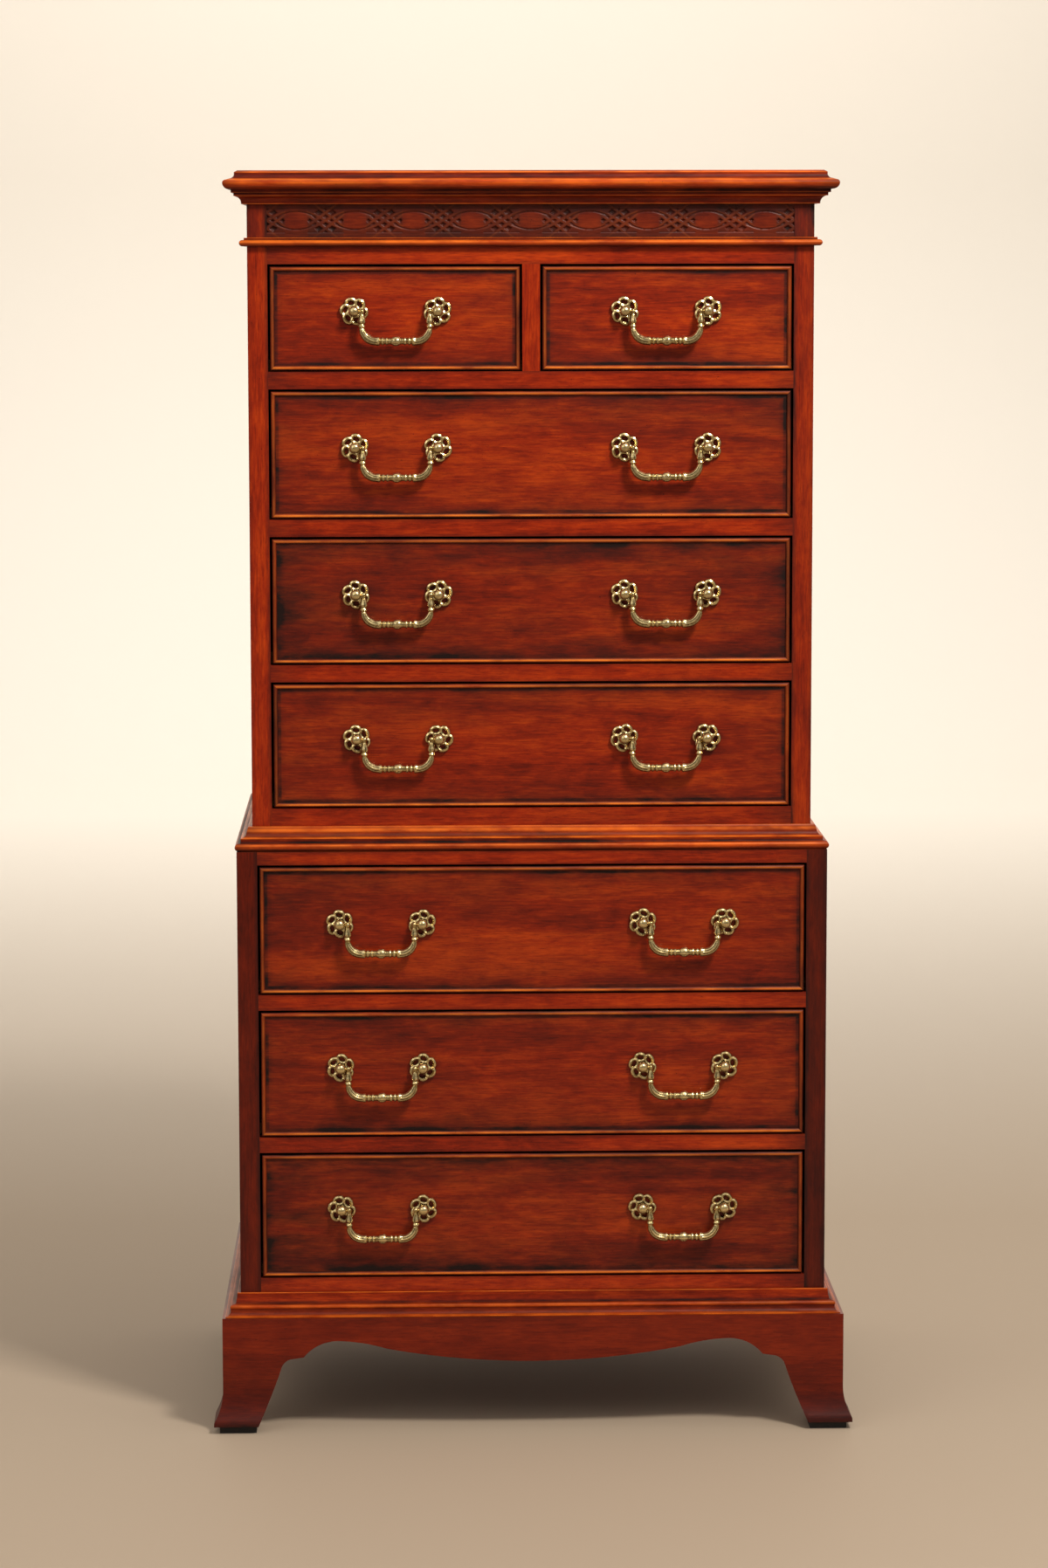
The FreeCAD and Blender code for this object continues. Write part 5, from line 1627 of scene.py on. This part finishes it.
@dataclass(frozen=True)
class Studio:
    """Floor, soft lights and the camera of the photograph."""

    place: Point = (-0.1294, -4.7564, 1.2639)
    pitch: float = 0.1217
    yaw: float = 0.0265
    roll: float = -0.0016
    focal_pixels: float = 4877.08
    long_side: float = 1796
    sensor: float = 36
    floor_half: float = 30.0
    floor_plain: float = 1.0
    curve_start: float = 5.5
    curve: float = 1.5
    wall_top: float = 9.0
    near_paint: Point = (184, 165, 143)
    far_paint: Point = (238, 232, 222)
    room_light: Point = (246, 240, 232)

    def build(self) -> None:
        """Make the floor, the lights and the camera."""
        self.backdrop()
        self.room()
        self.lamp("key", (1.1, -1.75, 2.95), (0, 0, 1.2), 0.5, 70, (1.0, 0.95, 0.88))
        self.lamp("fill", (-2.2, -2.4, 2.4), (0, 0, 1.0), 1.5, 9, (1.0, 0.96, 0.92))
        self.lamp("wash", (0, 4.6, 4.2), (0, 7.0, 1.2), 3.5, 132, (1.0, 0.95, 0.89))
        self.camera()

    def backdrop(self) -> None:
        """Make the floor, which curves up into a wall far behind."""
        line = [(-self.floor_half, 0.0), (self.floor_plain, 0.0), (self.curve_start, 0.0)]
        line += [(self.curve_start + self.curve * math.sin(a),
                  self.curve - self.curve * math.cos(a))
                 for a in np.linspace(0, math.pi / 2, 25)[1:]]
        line.append((self.curve_start + self.curve, self.wall_top))
        mesh = bpy.data.meshes.new("backdrop")
        mesh.from_pydata([(x, y, z) for y, z in line for x in (-self.floor_half, self.floor_half)],
                         [], [(2 * n, 2 * n + 1, 2 * n + 3, 2 * n + 2)
                              for n in range(len(line) - 1)])
        mesh.shade_smooth()
        sweep = linked(bpy.data.objects.new("backdrop", mesh))
        paint, graph, shader = new_material("pale_paint")
        place = graph.parts(graph.node("ShaderNodeTexCoord").outputs["Object"])
        graph.feed(shader.inputs["Base Color"], graph.mix(
            graph.spread(place[1], 0.8, 5), tint(*self.near_paint), tint(*self.far_paint)))
        shader.inputs["Roughness"].default_value = 0.7
        mesh.materials.append(paint)

    def room(self) -> None:
        """Make the soft light of the room, dimmer on the camera's side."""
        world = bpy.data.worlds.new("studio")
        bpy.context.scene.world = world
        world.use_nodes = True
        graph = Graph(world.node_tree)
        light = world.node_tree.nodes["Background"]
        toward = graph.parts(graph.node("ShaderNodeTexCoord").outputs["Generated"])
        height = graph.spread(toward[2], -0.1, 0.9, 0.07, 0.8)
        aside = graph.spread(toward[1], -0.95, -0.7, 0, 0.34)
        light.inputs[0].default_value = tint(*self.room_light)
        graph.feed(light.inputs[1], graph.math("MAXIMUM", height, aside))
        bpy.context.scene.view_settings.view_transform = "Standard"

    def lamp(self, name: str, spot: Point, aim: Point, size: float, power: float,
             colour: Point) -> None:
        """Make one soft light that faces a point."""
        data = bpy.data.lights.new(name, "AREA")
        data.size, data.energy, data.color = size, power, colour
        made = linked(bpy.data.objects.new(name, data))
        made.location = spot
        made.rotation_euler = (Vector(aim) - Vector(spot)).to_track_quat("-Z", "Y").to_euler()

    def camera(self) -> None:
        """Make the camera where the photograph was taken."""
        ahead = Vector((math.sin(self.yaw) * math.cos(self.pitch),
                        math.cos(self.yaw) * math.cos(self.pitch), -math.sin(self.pitch)))
        right = Vector((math.cos(self.yaw), -math.sin(self.yaw), 0))
        up = right.cross(ahead)
        turned_right = right * math.cos(self.roll) + up * math.sin(self.roll)
        turned_up = up * math.cos(self.roll) - right * math.sin(self.roll)
        data = bpy.data.cameras.new("camera")
        data.sensor_width = self.sensor
        data.lens = self.focal_pixels / self.long_side * self.sensor
        made = linked(bpy.data.objects.new("camera", data))
        made.matrix_world = laid(turned_right[:], turned_up[:], (-ahead)[:], self.place)
        bpy.context.scene.camera = made


def finish_plain_solids(finishes: Finishes) -> None:
    """Give the solids that stay as they are their finishes."""
    for name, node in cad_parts.items():
        if name.endswith("_box") or name in ("back_panels", "drawer_runners", "foot_blocks"):
            finish = finishes.plain
        elif name == "foot_pads":
            finish = finishes.pad
        else:
            continue
        for slot in node.material_slots:
            slot.material = finish


def main() -> None:
    """Build the chest, sub-assembly by sub-assembly."""
    logging.basicConfig(level=logging.INFO, format="%(name)s: %(message)s")
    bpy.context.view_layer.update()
    finishes = Finishes()
    line, ring = Repeater(Repeat.LINE), Repeater(Repeat.RING)
    Plinth().build(finishes)
    Carcase().build(finishes)
    Moulding("base_moulding", BASE, CASE.lower_half, CASE.lower_front,
             CASE.plinth_top).build(finishes)
    for name, outline, height in (("waist_moulding", WAIST, CASE.lower_top),
                                  ("astragal", ASTRAGAL, CASE.frieze_low),
                                  ("cornice", CORNICE, CASE.top - CORNICE.height)):
        Moulding(name, outline, CASE.upper_half, CASE.upper_front, height).build(finishes)
    Fret().build(finishes, line)
    pull = Pull(finishes.brass, ring)
    for drawer in drawers():
        drawer.build(finishes, pull)
    finish_plain_solids(finishes)
    Studio().build()


if __name__ == "__main__":
    main()
